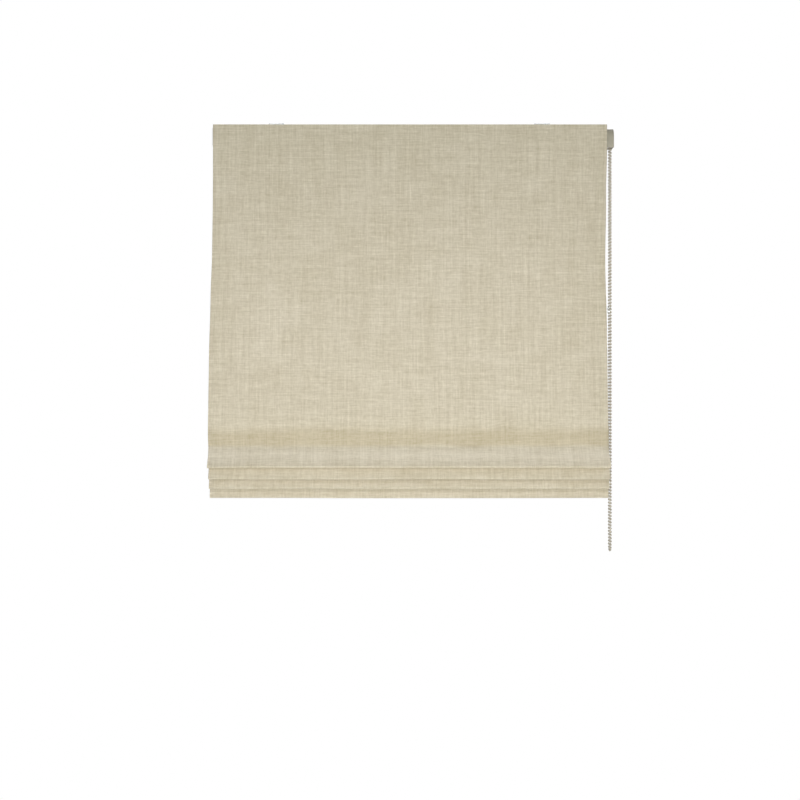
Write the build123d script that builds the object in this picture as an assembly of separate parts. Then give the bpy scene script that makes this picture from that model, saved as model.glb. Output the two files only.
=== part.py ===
"""A roman blind, half raised: a headrail with its chain drive, and a cloth that gathers in folds on six rods.

The origin is the middle of the four fixing holes, in the plane of the ceiling. +Z is up, -Y is towards the
room and X runs along the width. All sizes are in millimetres.
"""

import os
from math import atan2, cos, degrees, hypot, pi, sin

from build123d import *

# Cloth: widths and layers. A drop is measured down from the top edge of the cloth, a lift up from the hem.
cloth_width = 740.0
cloth_top = -3.0
face_thickness = 0.8
lining_thickness = 0.4
layer_gap = 0.3
side_hem_width = 25.0
lining_lap = 1.0

# Where the cloth runs, as seen from the side. Forward is towards the room, from the plane of the top edge.
lean_start_drop = 117.0
lean_end_lift = 170.0
panel_lean = 36.0
dent_lift = 97.0
dent_forward = 37.0
lean_bend_radius = 800.0
panel_bend_radius = 300.0
dent_radius = 12.0

# The hanging folds, from the front: the lift of each edge, how far forward it stands, how deep it is from
# front to back, its two radii, and the lifts of the bends in its back leg and in the leg behind that
fold_lifts = [59.0, 36.0, 18.0]
fold_forwards = [66.0, 56.0, 44.0]
fold_depths = [17.5, 10.0, 7.5]
fold_front_radii = [7.0, 4.0, 3.5]
fold_back_radii = [4.0, 3.0, 2.5]
fold_knee_lifts = [93.0, 87.0, 71.0]
fold_next_lifts = [91.0, 73.0, 63.0]
knee_radius = 8.0
crest_half_width = 0.7
leg_gap = 0.8
knee_gap = 0.65
turn_gap = 1.7

# Hem: the face cloth turned up behind the bottom bar
hem_drop = 700.0
hem_forward = 29.0
hem_pocket_depth = 8.0
hem_turn_up = 43.0
hem_belly_up = 27.0
hem_belly_back = 1.2
hem_corner_radius = 2.5

# Rods, their pockets and rings
rod_radius = 2.0
rod_sides = 12
panel_rod_drops = [187.0, 367.0]
first_gathered_lift = 153.0
gathered_count = 4
ring_pitch = 18.0
pocket_thickness = 0.4
pocket_clearance = 0.3
pocket_setback = 3.0
pocket_sides = 8
ring_outer_radius = 6.0
ring_inner_radius = 4.0
ring_thickness = 1.8
ring_sides = 6
seat_gap = 0.1

# Bottom bar in the hem
bar_height = 20.0
bar_thickness = 3.0
bar_setback = 22.0
bar_lift = 2.8
bar_cap_length = 6.0
bar_cap_wall = 0.5

# Lift cords: where they hang, and the cord itself
cord_setback = 80.0
cord_radius = 0.7
cord_slack_in_ring = 2.6
wound_length = 15.0
adjuster_radius = 3.2
adjuster_length = 14.0
adjuster_waist = 0.6
cord_sides = 6
winding_sides = 16
turned_sides = 24

# Headrail: an aluminium channel, open below
rail_left_setback = 4.0
rail_right_setback = 6.0
rail_depth = 38.0
rail_top = -8.9
rail_height = 32.0
rail_wall = 1.4
rail_lip = 6.0
rib_height = 3.4
rib_lip = 2.2
rib_wall = 1.2
rib_inset = 5.0
cap_thickness = 4.0
cap_round = 3.0
cap_plug = 12.0
tape_thickness = 1.2
tape_width = 20.0
tape_drop = 9.0

# Fixing brackets
bracket_setback = 120.0
bracket_width = 30.0
bracket_plate = 1.5
hole_spacing = 16.0
hole_radius = 2.25
fixing_setback = 23.0
hook_wall = 1.2
lever_pin_setback = 3.1
lever_pin_radius = 2.0
lever_fit = 0.05
lever_thickness = 1.6
lever_round = 4.5
lever_tongue_width = 5.0
lever_handle = 14.0

# Chain drive
chain_pitch = 6.0
bead_radius = 2.25
chain_cord_radius = 0.6
bead_sides = 4
wheel_pockets = 12
chain_run_beads = 128
chain_outset = 9.5
wheel_gap = 5.2
wheel_flange = 1.2
wheel_flange_radius = 14.2
pocket_radius = 2.45
wheel_core_drop = 1.4
housing_clearance = 0.8
housing_wall = 1.5
housing_skirt = 4.0
housing_plug = 14.0
housing_flange = 3.0
cover_chamfer = 0.8
shaft_size = 5.0
shaft_fit = 0.1
drive_axis_drop = 16.1
hub_radius = 6.0
hub_length = 20.0
spring_thickness = 0.8
running_fit = 0.06
connector_length = 13.0
connector_wall = 1.0
connector_height = 60.0

# Spools, one to each lift cord, and the cradles that carry them
drum_radius = 7.3
drum_length = 30.0
spool_flange_radius = 11.0
spool_flange = 1.5
journal_radius = 4.5
journal_length = 4.0
cheek_thickness = 2.6
cheek_gap = 0.4
cradle_base = 1.8
cradle_side_gap = 0.2
outlet_radius = 2.2
nose_wall = 1.2

# What follows from the sizes above
side = cloth_width / 2
lean_end_drop = hem_drop - lean_end_lift
dent_drop = hem_drop - dent_lift
fold_drops = [hem_drop - lift for lift in fold_lifts]
fold_knee_drops = [hem_drop - lift for lift in fold_knee_lifts]
fold_next_drops = [hem_drop - lift for lift in fold_next_lifts]
first_gathered_drop = hem_drop - first_gathered_lift
layers = face_thickness + layer_gap + lining_thickness
rod_length = cloth_width - 2 * side_hem_width
pocket_length = rod_length - 2 * pocket_setback
bar_length = cloth_width - 2 * bar_setback
cord_places = [-(side - cord_setback), 0.0, side - cord_setback]
bracket_places = [-(side - bracket_setback), side - bracket_setback]
rail_left = -side + rail_left_setback
rail_right = side - rail_right_setback
chain_plane = side + chain_outset
front = -fixing_setback
rail_front = front + layers + 2 * tape_thickness
rail_back = rail_front + rail_depth
rail_bottom = rail_top - rail_height
axis_y = (rail_front + rail_back) / 2
axis_z = rail_top - drive_axis_drop
pitch_radius = chain_pitch / (2 * sin(pi / wheel_pockets))
winding_radius = drum_radius + cord_radius
pocket_outer = rod_radius + pocket_clearance + pocket_thickness


def level(drop):
    """The height of a drop below the top edge of the cloth."""
    return cloth_top - drop


def panel_y(drop):
    """Where the face of the hanging panel is at a drop below its bend."""
    if drop < lean_end_drop:
        share = (drop - lean_start_drop) / (lean_end_drop - lean_start_drop)
        return front - panel_lean * max(share, 0)
    share = (drop - lean_end_drop) / (dent_drop - lean_end_drop)
    return front - panel_lean - (dent_forward - panel_lean) * share


def along_x(outline, left, right):
    """A section in the YZ plane, drawn out from left to right."""
    return extrude(Plane.YZ.offset(left) * outline, amount=right - left)


def rectangle(y_low, y_high, z_low, z_high):
    return Pos((y_low + y_high) / 2, (z_low + z_high) / 2) * Rectangle(y_high - y_low, z_high - z_low)


def block(x_low, x_high, y_low, y_high, z_low, z_high):
    return along_x(rectangle(y_low, y_high, z_low, z_high), x_low, x_high)


def rod_along_x(radius, left, right, y, z):
    return along_x(Pos(y, z) * Circle(radius), left, right)


def polygon(radius, sides):
    """A polygon round a circle, with a flat side to the front and one to the back."""
    return Rot(0, 0, 180 / sides if sides % 4 == 0 else 0) * RegularPolygon(radius, sides, major_radius=False)


# How the gathered rods and the crests under them stand
crest_drops = [
    first_gathered_drop + ring_pitch * k + pocket_outer + seat_gap * 3 + layers for k in range(1, gathered_count)
]
crest_ys = [panel_y(crest_drops[0]) + 2 * layers + leg_gap + crest_half_width]
for _ in crest_drops[1:]:
    crest_ys.append(crest_ys[-1] + 2 * crest_half_width + 2 * layers + leg_gap)


def cloth_run():
    """The face side of the cloth from its top edge to the hem, as corners and their radii, from the side."""
    run = [((front, cloth_top), 0)]
    run.append(((front, level(lean_start_drop)), lean_bend_radius))
    run.append(((front - panel_lean, level(lean_end_drop)), panel_bend_radius))
    run.append(((front - dent_forward, level(dent_drop)), dent_radius))
    leg_y = front - dent_forward
    for k, (crest_y, crest_drop) in enumerate(zip(crest_ys, crest_drops)):
        edge = front - fold_forwards[k]
        run.append(((edge, level(fold_drops[k])), fold_front_radii[k]))
        run.append(((edge + fold_depths[k], level(fold_drops[k])), fold_back_radii[k]))
        leg_y = leg_y + 2 * layers + knee_gap
        run.append(((leg_y, level(fold_knee_drops[k])), knee_radius))
        run.append(((crest_y - crest_half_width, level(crest_drop)), 0))
        run.append(((crest_y + crest_half_width, level(crest_drop)), 0))
        leg_y = leg_y + turn_gap
        run.append(((leg_y, level(fold_next_drops[k])), knee_radius))
    return run


def hem_run():
    """The hem: the face cloth turned up behind the bottom bar, to lie against the lining at its top."""
    back = front - hem_forward + hem_pocket_depth
    top_y = hem_leg_y(hem_drop - hem_turn_up) + 2 * layers
    return [
        ((front - hem_forward, level(hem_drop)), hem_corner_radius),
        ((back, level(hem_drop)), hem_corner_radius),
        ((back + hem_belly_back, level(hem_drop - hem_belly_up)), knee_radius),
        ((top_y, level(hem_drop - hem_turn_up)), 0),
    ]


def hem_leg_y(drop):
    """Where the face of the last hanging leg is."""
    (top_y, top_z), _ = cloth_run()[-1]
    share = (top_z - level(drop)) / (top_z - level(hem_drop))
    return top_y + (front - hem_forward - top_y) * share


def turn(before, corner, after):
    """The unit vectors into and out of a corner."""
    a = (corner[0] - before[0], corner[1] - before[1])
    b = (after[0] - corner[0], after[1] - corner[1])
    return (a[0] / hypot(*a), a[1] / hypot(*a)), (b[0] / hypot(*b), b[1] / hypot(*b))


def beside(run, distance):
    """A run moved towards its left side, which is the back of the cloth, with its radii to match."""
    points = [p for p, _ in run]
    moved, radii = [], []
    for i, (point, radius) in enumerate(run):
        before = points[i - 1] if i else (2 * point[0] - points[1][0], 2 * point[1] - points[1][1])
        after = points[i + 1] if i + 1 < len(run) else (2 * point[0] - before[0], 2 * point[1] - before[1])
        a, b = turn(before, point, after)
        share = distance / (1 + a[0] * b[0] + a[1] * b[1])
        moved.append((point[0] - (a[1] + b[1]) * share, point[1] + (a[0] + b[0]) * share))
        tighter = a[0] * b[1] - a[1] * b[0] > 0
        radii.append(0 if radius == 0 else radius - distance if tighter else radius + distance)
    return moved, radii[1:-1]


def ribbon(run, near, far):
    """The section of a layer of cloth that lies between two distances behind the run."""
    near_points, near_radii = beside(run, near)
    far_points, far_radii = beside(run, far)
    edges = FilletPolyline(*near_points, radius=near_radii) + FilletPolyline(*far_points, radius=far_radii)
    edges += Line(near_points[0], far_points[0]) + Line(near_points[-1], far_points[-1])
    return make_face(edges)


def face_fabric():
    """The linen: one sheet, folded, with its foot turned up round the bar."""
    return along_x(ribbon(cloth_run() + hem_run(), 0, face_thickness), -side, side)


def lining():
    """The lining: one sheet behind the linen, folded with it, stopping short at the sides for the side hems."""
    half = side - side_hem_width - lining_lap
    end_drop = hem_drop - hem_turn_up
    run = cloth_run() + [((hem_leg_y(end_drop), level(end_drop)), 0)]
    return along_x(ribbon(run, layers - lining_thickness, layers), -half, half)


# Rods and what is sewn or tied to them
rod_seats = [(panel_y(d) + layers + pocket_outer + 3 * seat_gap, level(d)) for d in panel_rod_drops]
rod_seats.append((panel_y(first_gathered_drop) + layers + pocket_outer + 3 * seat_gap, level(first_gathered_drop)))
rod_seats += [
    (crest_y, level(first_gathered_drop + ring_pitch * (k + 1))) for k, crest_y in enumerate(crest_ys)
]
ring_setback = pocket_outer + seat_gap + ring_outer_radius


def rod(seat):
    return along_x(Pos(*seat) * polygon(rod_radius, rod_sides), -rod_length / 2, rod_length / 2)


def rod_pocket(seat):
    """A tape sewn into a tube, open at both ends."""
    tube = polygon(pocket_outer, pocket_sides) - polygon(pocket_outer - pocket_thickness, pocket_sides)
    return along_x(Pos(*seat) * tube, -pocket_length / 2, pocket_length / 2)


def cord_rings(seat):
    """One ring for each lift cord, lying flat behind the pocket so that the cord runs down through it."""
    ring = polygon(ring_outer_radius, ring_sides) - polygon(ring_inner_radius, ring_sides)
    flat = extrude(ring, amount=ring_thickness / 2, both=True)
    return [Pos(x, seat[0] + ring_setback, seat[1]) * flat for x in cord_places]


# The line of a lift cord, as seen from the side
def cord_route():
    """From the front of the spool, out of the cradle, and down through the rings to the lowest rod."""
    top_y = axis_y - winding_radius
    outlet = rail_bottom - 1
    route = [(top_y, axis_z), (top_y, outlet)]
    for k, (y, z) in enumerate(rod_seats[2:]):
        slack = cord_slack_in_ring * (1 - 2 * k / (gathered_count - 1))
        route.append((y + ring_setback + slack, z))
    end_y, end_z = route[-1]
    route.append((end_y, end_z - ring_thickness))
    return route


def lift_cord(x):
    """The hanging cord, with the turns that are wound on its spool as one sleeve."""
    points = [(x, y, z) for y, z in cord_route()]
    start = Plane(origin=points[0], z_dir=(0, 0, -1))
    cord = sweep(start * RegularPolygon(cord_radius, cord_sides), path=Polyline(*points), transition=Transition.RIGHT)
    sleeve = polygon(winding_radius + cord_radius, winding_sides)
    sleeve -= polygon(winding_radius - cord_radius + seat_gap, winding_sides)
    return cord + along_x(Pos(axis_y, axis_z) * sleeve, x - wound_length / 2, x + wound_length / 2)


def cord_adjuster(x):
    """The drop shaped weight that the cord is tied in, under the lowest ring."""
    y, z = cord_route()[-1]
    profile = ((0, 2 * cord_radius), (adjuster_length * adjuster_waist, adjuster_radius), (adjuster_length, cord_radius))
    rings = []
    for down, radius in profile:
        angles = [2 * pi * k / cord_sides for k in range(cord_sides)]
        rings.append([Vector(x + radius * cos(a), y + radius * sin(a), z - seat_gap - down) for a in angles])
    faces = [Face(Wire.make_polygon(ring, close=True)) for ring in (rings[0], rings[-1])]
    for here, there in zip(rings, rings[1:]):
        for k in range(cord_sides):
            corners = (here[k], here[k - 1], there[k - 1], there[k])
            faces.append(Face(Wire.make_polygon(corners, close=True)))
    return Solid(Shell(faces))


def bottom_bar_plane():
    """The middle of the bar, turned to lie along the face of the hem."""
    foot = hem_drop - bar_lift
    top = foot - bar_height
    y0, y1 = hem_leg_y(foot), hem_leg_y(top)
    across = face_thickness + bar_cap_wall + seat_gap + bar_thickness / 2
    tilt = atan2(y1 - y0, bar_height)
    return Location((0, (y0 + y1) / 2 + across, (level(foot) + level(top)) / 2), (-degrees(tilt), 0, 0))


def bottom_bar():
    return bottom_bar_plane() * Box(bar_length, bar_thickness, bar_height)


def bar_caps():
    """A moulded shoe on each end of the bar."""
    shoe = Box(bar_cap_length, bar_thickness + 2 * bar_cap_wall, bar_height + 2 * bar_cap_wall)
    hollow = Box(bar_cap_length, bar_thickness, bar_height)
    caps = []
    for end in (-1, 1):
        middle = end * (bar_length / 2 - bar_cap_length / 2 + bar_cap_wall * 2)
        inside = end * (bar_length / 2 - bar_cap_length / 2)
        caps.append(bottom_bar_plane() * (Pos(middle, 0, 0) * shoe - Pos(inside, 0, 0) * hollow))
    return caps


# Headrail
def rail_section():
    """The extruded channel: flat front for the tape, lips below for the cradles, ribs above for the brackets."""
    y0, y1, z0, z1 = rail_front, rail_back, rail_bottom, rail_top
    w = rail_wall
    section = rectangle(y0, y1, z0, z1) - rectangle(y0 + w, y1 - w, z0 + w, z1 - w)
    section -= rectangle(y0 + rail_lip + w, y1 - rail_lip - w, z0, z0 + w)
    rib_top = z1 + rib_height
    for rib, outward in ((y0 + rib_inset, -1), (y1 - rib_inset, 1)):
        stem = sorted((rib, rib - outward * rib_wall))
        section += rectangle(*stem, z1, rib_top)
        lip = sorted((rib - outward * rib_wall, rib + outward * rib_lip))
        section += rectangle(*lip, rib_top - rib_wall, rib_top)
    return section


def headrail():
    return along_x(rail_section(), rail_left, rail_right)


def rail_plug(left, right):
    """A ring of wall that fits inside the end of the channel."""
    w = rail_wall + cradle_side_gap
    y0, y1, z0, z1 = rail_front + w, rail_back - w, rail_bottom + w, rail_top - w
    ring = rectangle(y0, y1, z0, z1) - rectangle(
        y0 + housing_wall, y1 - housing_wall, z0 + housing_wall, z1 - housing_wall
    )
    return along_x(ring, left, right)


def end_cap():
    """The moulded cap on the left end, with its plug in the channel."""
    plate_left = rail_left - cap_thickness
    plate = block(plate_left, rail_left, rail_front, rail_back, rail_bottom, rail_top)
    plate = fillet(plate.edges().filter_by(Axis.X).group_by(Axis.Z)[0], cap_round)
    return plate + rail_plug(rail_left, rail_left + cap_plug)


def hook_tape():
    y = rail_front - tape_thickness
    z = rail_top - tape_drop
    return block(rail_left, rail_right, y, rail_front, z - tape_width, z)


def loop_tape():
    y = rail_front - 2 * tape_thickness
    z = rail_top - tape_drop
    half = side - side_hem_width - lining_lap
    return block(-half, half, y, y + tape_thickness, z - tape_width, z)


# Fixing brackets
rib_lip_under = rail_top + rib_height - rib_wall
rear_rib = rail_back - rib_inset
lever_y = rail_back + lever_pin_setback


def bracket(x):
    """A pressed steel plate with two screw holes, a hook for the front rib and a pin for its lever."""
    left, right = x - bracket_width / 2, x + bracket_width / 2
    hook_y = rail_front + rib_inset - rib_lip - hook_wall - seat_gap
    rear = lever_y + lever_round
    plate = block(left, right, hook_y, rear, -bracket_plate, 0)
    plate = chamfer(plate.edges().filter_by(Axis.Z), 2)
    hook = block(left, right, hook_y, hook_y + hook_wall, rib_lip_under - hook_wall, -bracket_plate)
    hook += block(
        left, right, hook_y, hook_y + hook_wall + rib_lip - 0.4, rib_lip_under - hook_wall, rib_lip_under
    )
    plate += hook
    for y in (-hole_spacing / 2, hole_spacing / 2):
        plate -= Pos(x, y, -bracket_plate / 2) * Cylinder(hole_radius, bracket_plate * 2)
    pin_foot = rib_lip_under - lever_thickness - 1
    pin = Cylinder(lever_pin_radius, -bracket_plate - pin_foot, align=(Align.CENTER, Align.CENTER, Align.MAX))
    head = extrude(polygon(lever_pin_radius + 1, 8), amount=0.8)
    return plate + Pos(x, lever_y, -bracket_plate) * pin + Pos(x, lever_y, pin_foot) * head


def bracket_lever(x):
    """The lever that locks the rear rib: a tongue in front, a finger tab behind."""
    z = rib_lip_under - seat_gap
    reach = lever_y - rear_rib - seat_gap * 3
    tongue = (reach**2 - (lever_tongue_width / 2) ** 2) ** 0.5
    shape = polygon(lever_round, 8)
    shape += Pos(0, -tongue / 2) * Rectangle(lever_tongue_width, tongue)
    shape += Pos(0, lever_handle / 2) * Rectangle(lever_tongue_width, lever_handle)
    shape += Pos(0, lever_handle) * polygon(lever_tongue_width * 0.7, 8)
    shape -= Circle(lever_pin_radius + lever_fit)
    return Pos(x, lever_y, z - lever_thickness) * extrude(shape, amount=lever_thickness)


# Spools and cradles
def spool(x):
    """A drum with a flange at its right end, on a journal at each end, square bored for the shaft."""
    half = drum_length / 2
    at = Pos(axis_y, axis_z)
    shape = along_x(at * polygon(drum_radius, winding_sides), x - half - spool_flange, x + half)
    shape += along_x(at * polygon(spool_flange_radius, turned_sides), x + half, x + half + spool_flange)
    end = half + spool_flange + cheek_gap + journal_length
    shape += along_x(at * RegularPolygon(journal_radius, turned_sides), x - end, x + end)
    bore = at * Rectangle(shaft_size + 2 * shaft_fit, shaft_size + 2 * shaft_fit)
    return shape - along_x(bore, x - drum_length, x + drum_length)


def cradle(x):
    """A moulded cradle that drops on the channel's lips, open above so that its spool drops in, with an outlet."""
    wall = rail_wall + cradle_side_gap
    floor = rail_bottom + rail_wall
    first = drum_length / 2 + spool_flange + cheek_gap
    last = first + cheek_thickness
    y0, y1 = rail_front + wall, rail_back - wall
    shape = block(x - last, x + last, y0, y1, floor, floor + cradle_base)
    nose_y = axis_y - winding_radius
    half = outlet_radius + nose_wall
    shape += block(x - half, x + half, nose_y - half, nose_y + half, rail_bottom - 1, floor)
    bearing = journal_radius + running_fit
    cheek = rectangle(axis_y - bearing - 3, axis_y + bearing + 3, floor, axis_z + 3)
    cheek -= Pos(axis_y, axis_z) * Circle(bearing) + rectangle(axis_y - bearing, axis_y + bearing, axis_z, axis_z + 4)
    for end in (-1, 1):
        near = sorted((x + end * first, x + end * last))
        shape += along_x(cheek, *near)
    return shape - block(
        x - outlet_radius, x + outlet_radius, nose_y - outlet_radius, nose_y + outlet_radius, rail_bottom - 2, axis_z
    )


# Chain drive
chamber_left = chain_plane - wheel_gap / 2 - wheel_flange - housing_clearance / 2
chamber_right = chain_plane + wheel_gap / 2 + wheel_flange + housing_clearance / 2
chamber_radius = wheel_flange_radius + housing_clearance
skirt_bottom = rail_bottom - housing_skirt


def chain_wheel():
    """Two flanges with a core between them, notched for the beads."""
    half = wheel_gap / 2
    core = polygon(pitch_radius - wheel_core_drop, turned_sides)
    for k in range(wheel_pockets):
        angle = 2 * pi * k / wheel_pockets
        pocket = Rot(0, 0, degrees(angle)) * polygon(pocket_radius, 8)
        core -= Pos(pitch_radius * cos(angle), pitch_radius * sin(angle)) * pocket
    at = Pos(axis_y, axis_z)
    shape = along_x(at * core, chain_plane - half, chain_plane + half)
    for end in (-1, 1):
        near = sorted((chain_plane + end * half, chain_plane + end * (half + wheel_flange)))
        shape += along_x(at * RegularPolygon(wheel_flange_radius, turned_sides), *near)
    bore = at * Rectangle(shaft_size + 2 * shaft_fit, shaft_size + 2 * shaft_fit)
    return shape - along_x(bore, chamber_left, chamber_right)


def drive_shaft():
    left = cord_places[0] - drum_length
    right = chamber_right - housing_clearance
    return along_x(Pos(axis_y, axis_z) * Rectangle(shaft_size, shaft_size), left, right)


def clutch_hub():
    """The sleeve on the shaft that the wrap spring grips."""
    right = chamber_left
    sleeve = Circle(hub_radius) - Rectangle(shaft_size + 2 * shaft_fit, shaft_size + 2 * shaft_fit)
    return along_x(Pos(axis_y, axis_z) * sleeve, right - hub_length, right - seat_gap)


def wrap_spring():
    """The closely wound flat wire brake, as one band with the slot between its two tangs."""
    inner = hub_radius + running_fit
    band = polygon(inner + spring_thickness, winding_sides) - polygon(inner, winding_sides)
    band -= Pos(0, inner) * Rectangle(2, 4)
    return along_x(Pos(axis_y, axis_z) * band, chamber_left - hub_length + 2, rail_right - 1)


def horseshoe(radius, bottom):
    """A round top on straight sides that run down to the mouth where the chain hangs out."""
    shape = Pos(axis_y, axis_z) * polygon(radius, turned_sides)
    return shape + rectangle(axis_y - radius, axis_y + radius, bottom, axis_z)


def control_housing():
    """The moulded body on the right end: a plug in the channel, a flange, and the chamber round the wheel."""
    outer = chamber_radius + housing_wall
    shape = block(rail_right, rail_right + housing_flange, rail_front, rail_back, rail_bottom, rail_top)
    shape += along_x(horseshoe(outer, skirt_bottom), rail_right, chamber_right)
    shape -= along_x(horseshoe(chamber_radius, skirt_bottom - 1), chamber_left, chamber_right)
    shape += rail_plug(rail_right - housing_plug, rail_right)
    spring_room = polygon(hub_radius + 2 * running_fit + spring_thickness, winding_sides)
    shape -= along_x(Pos(axis_y, axis_z) * spring_room, rail_right, rail_right + 1)
    shape -= rod_along_x(hub_radius + running_fit, rail_right, chamber_left, axis_y, axis_z)
    return shape


def control_cover():
    """The plate that closes the wheel chamber, with a stub that steadies the wheel and a rim."""
    outer = chamber_radius + housing_wall
    shape = along_x(horseshoe(outer, skirt_bottom), chamber_right, chamber_right + housing_wall)
    return chamfer(shape.faces().sort_by(Axis.X)[-1].edges(), cover_chamfer)


def chain_stations():
    """The centres of the beads round the closed loop, with the direction of the chain at each."""
    top, bottom = axis_z, axis_z - chain_run_beads * chain_pitch
    stations = []
    half = wheel_pockets // 2
    for k in range(half):
        angle = pi * k / half
        stations.append((axis_y + pitch_radius * cos(angle), top + pitch_radius * sin(angle), angle + pi / 2))
    for k in range(chain_run_beads):
        stations.append((axis_y - pitch_radius, top - k * chain_pitch, -pi / 2))
    for k in range(half):
        angle = pi + pi * k / half
        stations.append((axis_y + pitch_radius * cos(angle), bottom + pitch_radius * sin(angle), angle + pi / 2))
    for k in range(chain_run_beads):
        stations.append((axis_y + pitch_radius, bottom + k * chain_pitch, pi / 2))
    return stations


def ring_of_corners(y, z, heading, along, radius):
    """The corners of one section of the chain, some way along from a bead's centre."""
    centre_y, centre_z = y + along * cos(heading), z + along * sin(heading)
    corners = []
    for k in range(bead_sides):
        turn_by = 2 * pi * k / bead_sides
        out = radius * cos(turn_by)
        corner = (chain_plane + radius * sin(turn_by), centre_y - out * sin(heading), centre_z + out * cos(heading))
        corners.append(Vector(*corner))
    return corners


def bead_chain():
    """The closed loop of beads on their cord: each bead a double pyramid, so that hundreds stay light."""
    rings = []
    for y, z, heading in chain_stations():
        for along, radius in ((-chain_pitch / 2, chain_cord_radius), (0, bead_radius)):
            rings.append(ring_of_corners(y, z, heading, along, radius))
    faces = []
    for here, there in zip(rings, rings[1:] + rings[:1]):
        for k in range(bead_sides):
            a, b, c, d = here[k], here[k - 1], there[k - 1], there[k]
            flat = abs((b - a).cross(d - a).dot(c - a)) < 1e-6
            for corners in [(a, b, c, d)] if flat else [(a, b, c), (a, c, d)]:
                faces.append(Face(Wire.make_polygon(corners, close=True)))
    return Solid(Shell(faces))


def chain_connector():
    """The clear clip that joins the ends of the chain, round two beads of its rear run."""
    middle = axis_z - (chain_run_beads // 2) * chain_pitch + connector_height
    bore = bead_radius + seat_gap
    tube = polygon(bore + connector_wall, 8) - polygon(bore, 8)
    clip = extrude(tube, amount=connector_length / 2, both=True)
    return Pos(chain_plane, axis_y + pitch_radius, middle) * clip


def write(name, shape):
    """Writes one node. A list is a group of like pieces."""
    whole = Compound(children=list(shape)) if isinstance(shape, list) else shape
    export_step(whole, f"parts/{name}.step")


os.makedirs("parts", exist_ok=True)
write("face_fabric", face_fabric())
write("lining", lining())
for number, seat in enumerate(rod_seats, 1):
    write(f"rod_{number}", rod(seat))
    write(f"rod_pocket_{number}", rod_pocket(seat))
    write(f"cord_rings_{number}", cord_rings(seat))
write("bottom_bar", bottom_bar())
write("bottom_bar_caps", bar_caps())
write("headrail", headrail())
write("end_cap", end_cap())
write("hook_tape", hook_tape())
write("loop_tape", loop_tape())
for end, place in zip(("left", "right"), bracket_places):
    write(f"bracket_{end}", bracket(place))
    write(f"bracket_lever_{end}", bracket_lever(place))
for end, place in zip(("left", "middle", "right"), cord_places):
    write(f"cord_spool_{end}", spool(place))
    write(f"spool_cradle_{end}", cradle(place))
    write(f"lift_cord_{end}", lift_cord(place))
    write(f"cord_adjuster_{end}", cord_adjuster(place))
write("drive_shaft", drive_shaft())
write("chain_wheel", chain_wheel())
write("clutch_hub", clutch_hub())
write("wrap_spring", wrap_spring())
write("control_housing", control_housing())
write("control_cover", control_cover())
write("bead_chain", bead_chain())
write("chain_connector", chain_connector())
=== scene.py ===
"""A half raised roman blind of plain linen, from the cloth up to its headrail and chain drive."""

from math import acos, cos, hypot, pi, radians, sin, tan

import bpy
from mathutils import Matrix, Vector, noise
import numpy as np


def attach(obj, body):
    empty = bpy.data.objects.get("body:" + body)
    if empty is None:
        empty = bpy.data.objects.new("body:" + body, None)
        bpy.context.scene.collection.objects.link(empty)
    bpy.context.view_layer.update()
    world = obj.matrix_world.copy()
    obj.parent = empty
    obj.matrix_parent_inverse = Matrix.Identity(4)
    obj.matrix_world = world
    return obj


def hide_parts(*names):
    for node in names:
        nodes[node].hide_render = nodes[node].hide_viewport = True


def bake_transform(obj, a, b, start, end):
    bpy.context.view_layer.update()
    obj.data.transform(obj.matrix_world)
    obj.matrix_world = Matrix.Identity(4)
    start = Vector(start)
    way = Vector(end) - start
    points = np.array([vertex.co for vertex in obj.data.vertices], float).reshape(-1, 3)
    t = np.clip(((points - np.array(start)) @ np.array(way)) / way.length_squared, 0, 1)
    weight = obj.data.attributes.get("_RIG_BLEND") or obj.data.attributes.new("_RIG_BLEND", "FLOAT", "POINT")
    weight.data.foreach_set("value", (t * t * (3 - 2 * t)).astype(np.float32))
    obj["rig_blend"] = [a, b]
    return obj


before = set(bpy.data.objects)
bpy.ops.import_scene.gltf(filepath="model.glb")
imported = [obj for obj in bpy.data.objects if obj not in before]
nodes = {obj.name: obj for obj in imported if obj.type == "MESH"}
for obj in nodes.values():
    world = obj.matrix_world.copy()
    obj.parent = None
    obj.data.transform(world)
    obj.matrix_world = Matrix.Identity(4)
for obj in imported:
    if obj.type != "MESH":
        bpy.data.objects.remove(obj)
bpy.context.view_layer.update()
mm = 0.001


# Camera. It stands three metres in front of the top of the cloth, a little left of its middle, and looks
# level, so that upright lines stay upright. Its view is 28 degrees across.
camera_place = Vector((-17.5, -3023.0, -520.5)) * mm
camera_lens = 71.9
picture_width = 36.0

camera_data = bpy.data.cameras.new("camera")
camera_data.lens = camera_lens
camera_data.sensor_width = picture_width
camera_data.clip_end = 50
camera = bpy.data.objects.new("camera", camera_data)
camera.location = camera_place
camera.rotation_euler = (radians(90), 0, 0)
bpy.context.scene.collection.objects.link(camera)
bpy.context.scene.camera = camera
bpy.context.scene.view_settings.view_transform = "Standard"


# Studio. A white surround, a pale floor well below the hem, and four soft boxes: a gridded one above the
# camera, aimed low on the panel, a plain one below the camera, a weak one low at the left, and one behind.
def hex_colour(code):
    """A colour written as an sRGB hex value, turned to the linear numbers that the shaders take."""
    channels = [int(code[k : k + 2], 16) / 255 for k in (0, 2, 4)]
    return (*[c / 12.92 if c <= 0.04045 else ((c + 0.055) / 1.055) ** 2.4 for c in channels], 1.0)


def add_node(tree, kind, inputs=(), **settings):
    """Adds a shader node with its settings. An input is a value, a node to link or a node's output."""
    made = tree.nodes.new("ShaderNode" + kind)
    for name, value in settings.items():
        setattr(made, name, value)
    for socket, value in dict(inputs).items():
        source = value.outputs[0] if isinstance(value, bpy.types.Node) else value
        if isinstance(source, bpy.types.NodeSocket):
            tree.links.new(source, made.inputs[socket])
        else:
            made.inputs[socket].default_value = source
    return made


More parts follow.
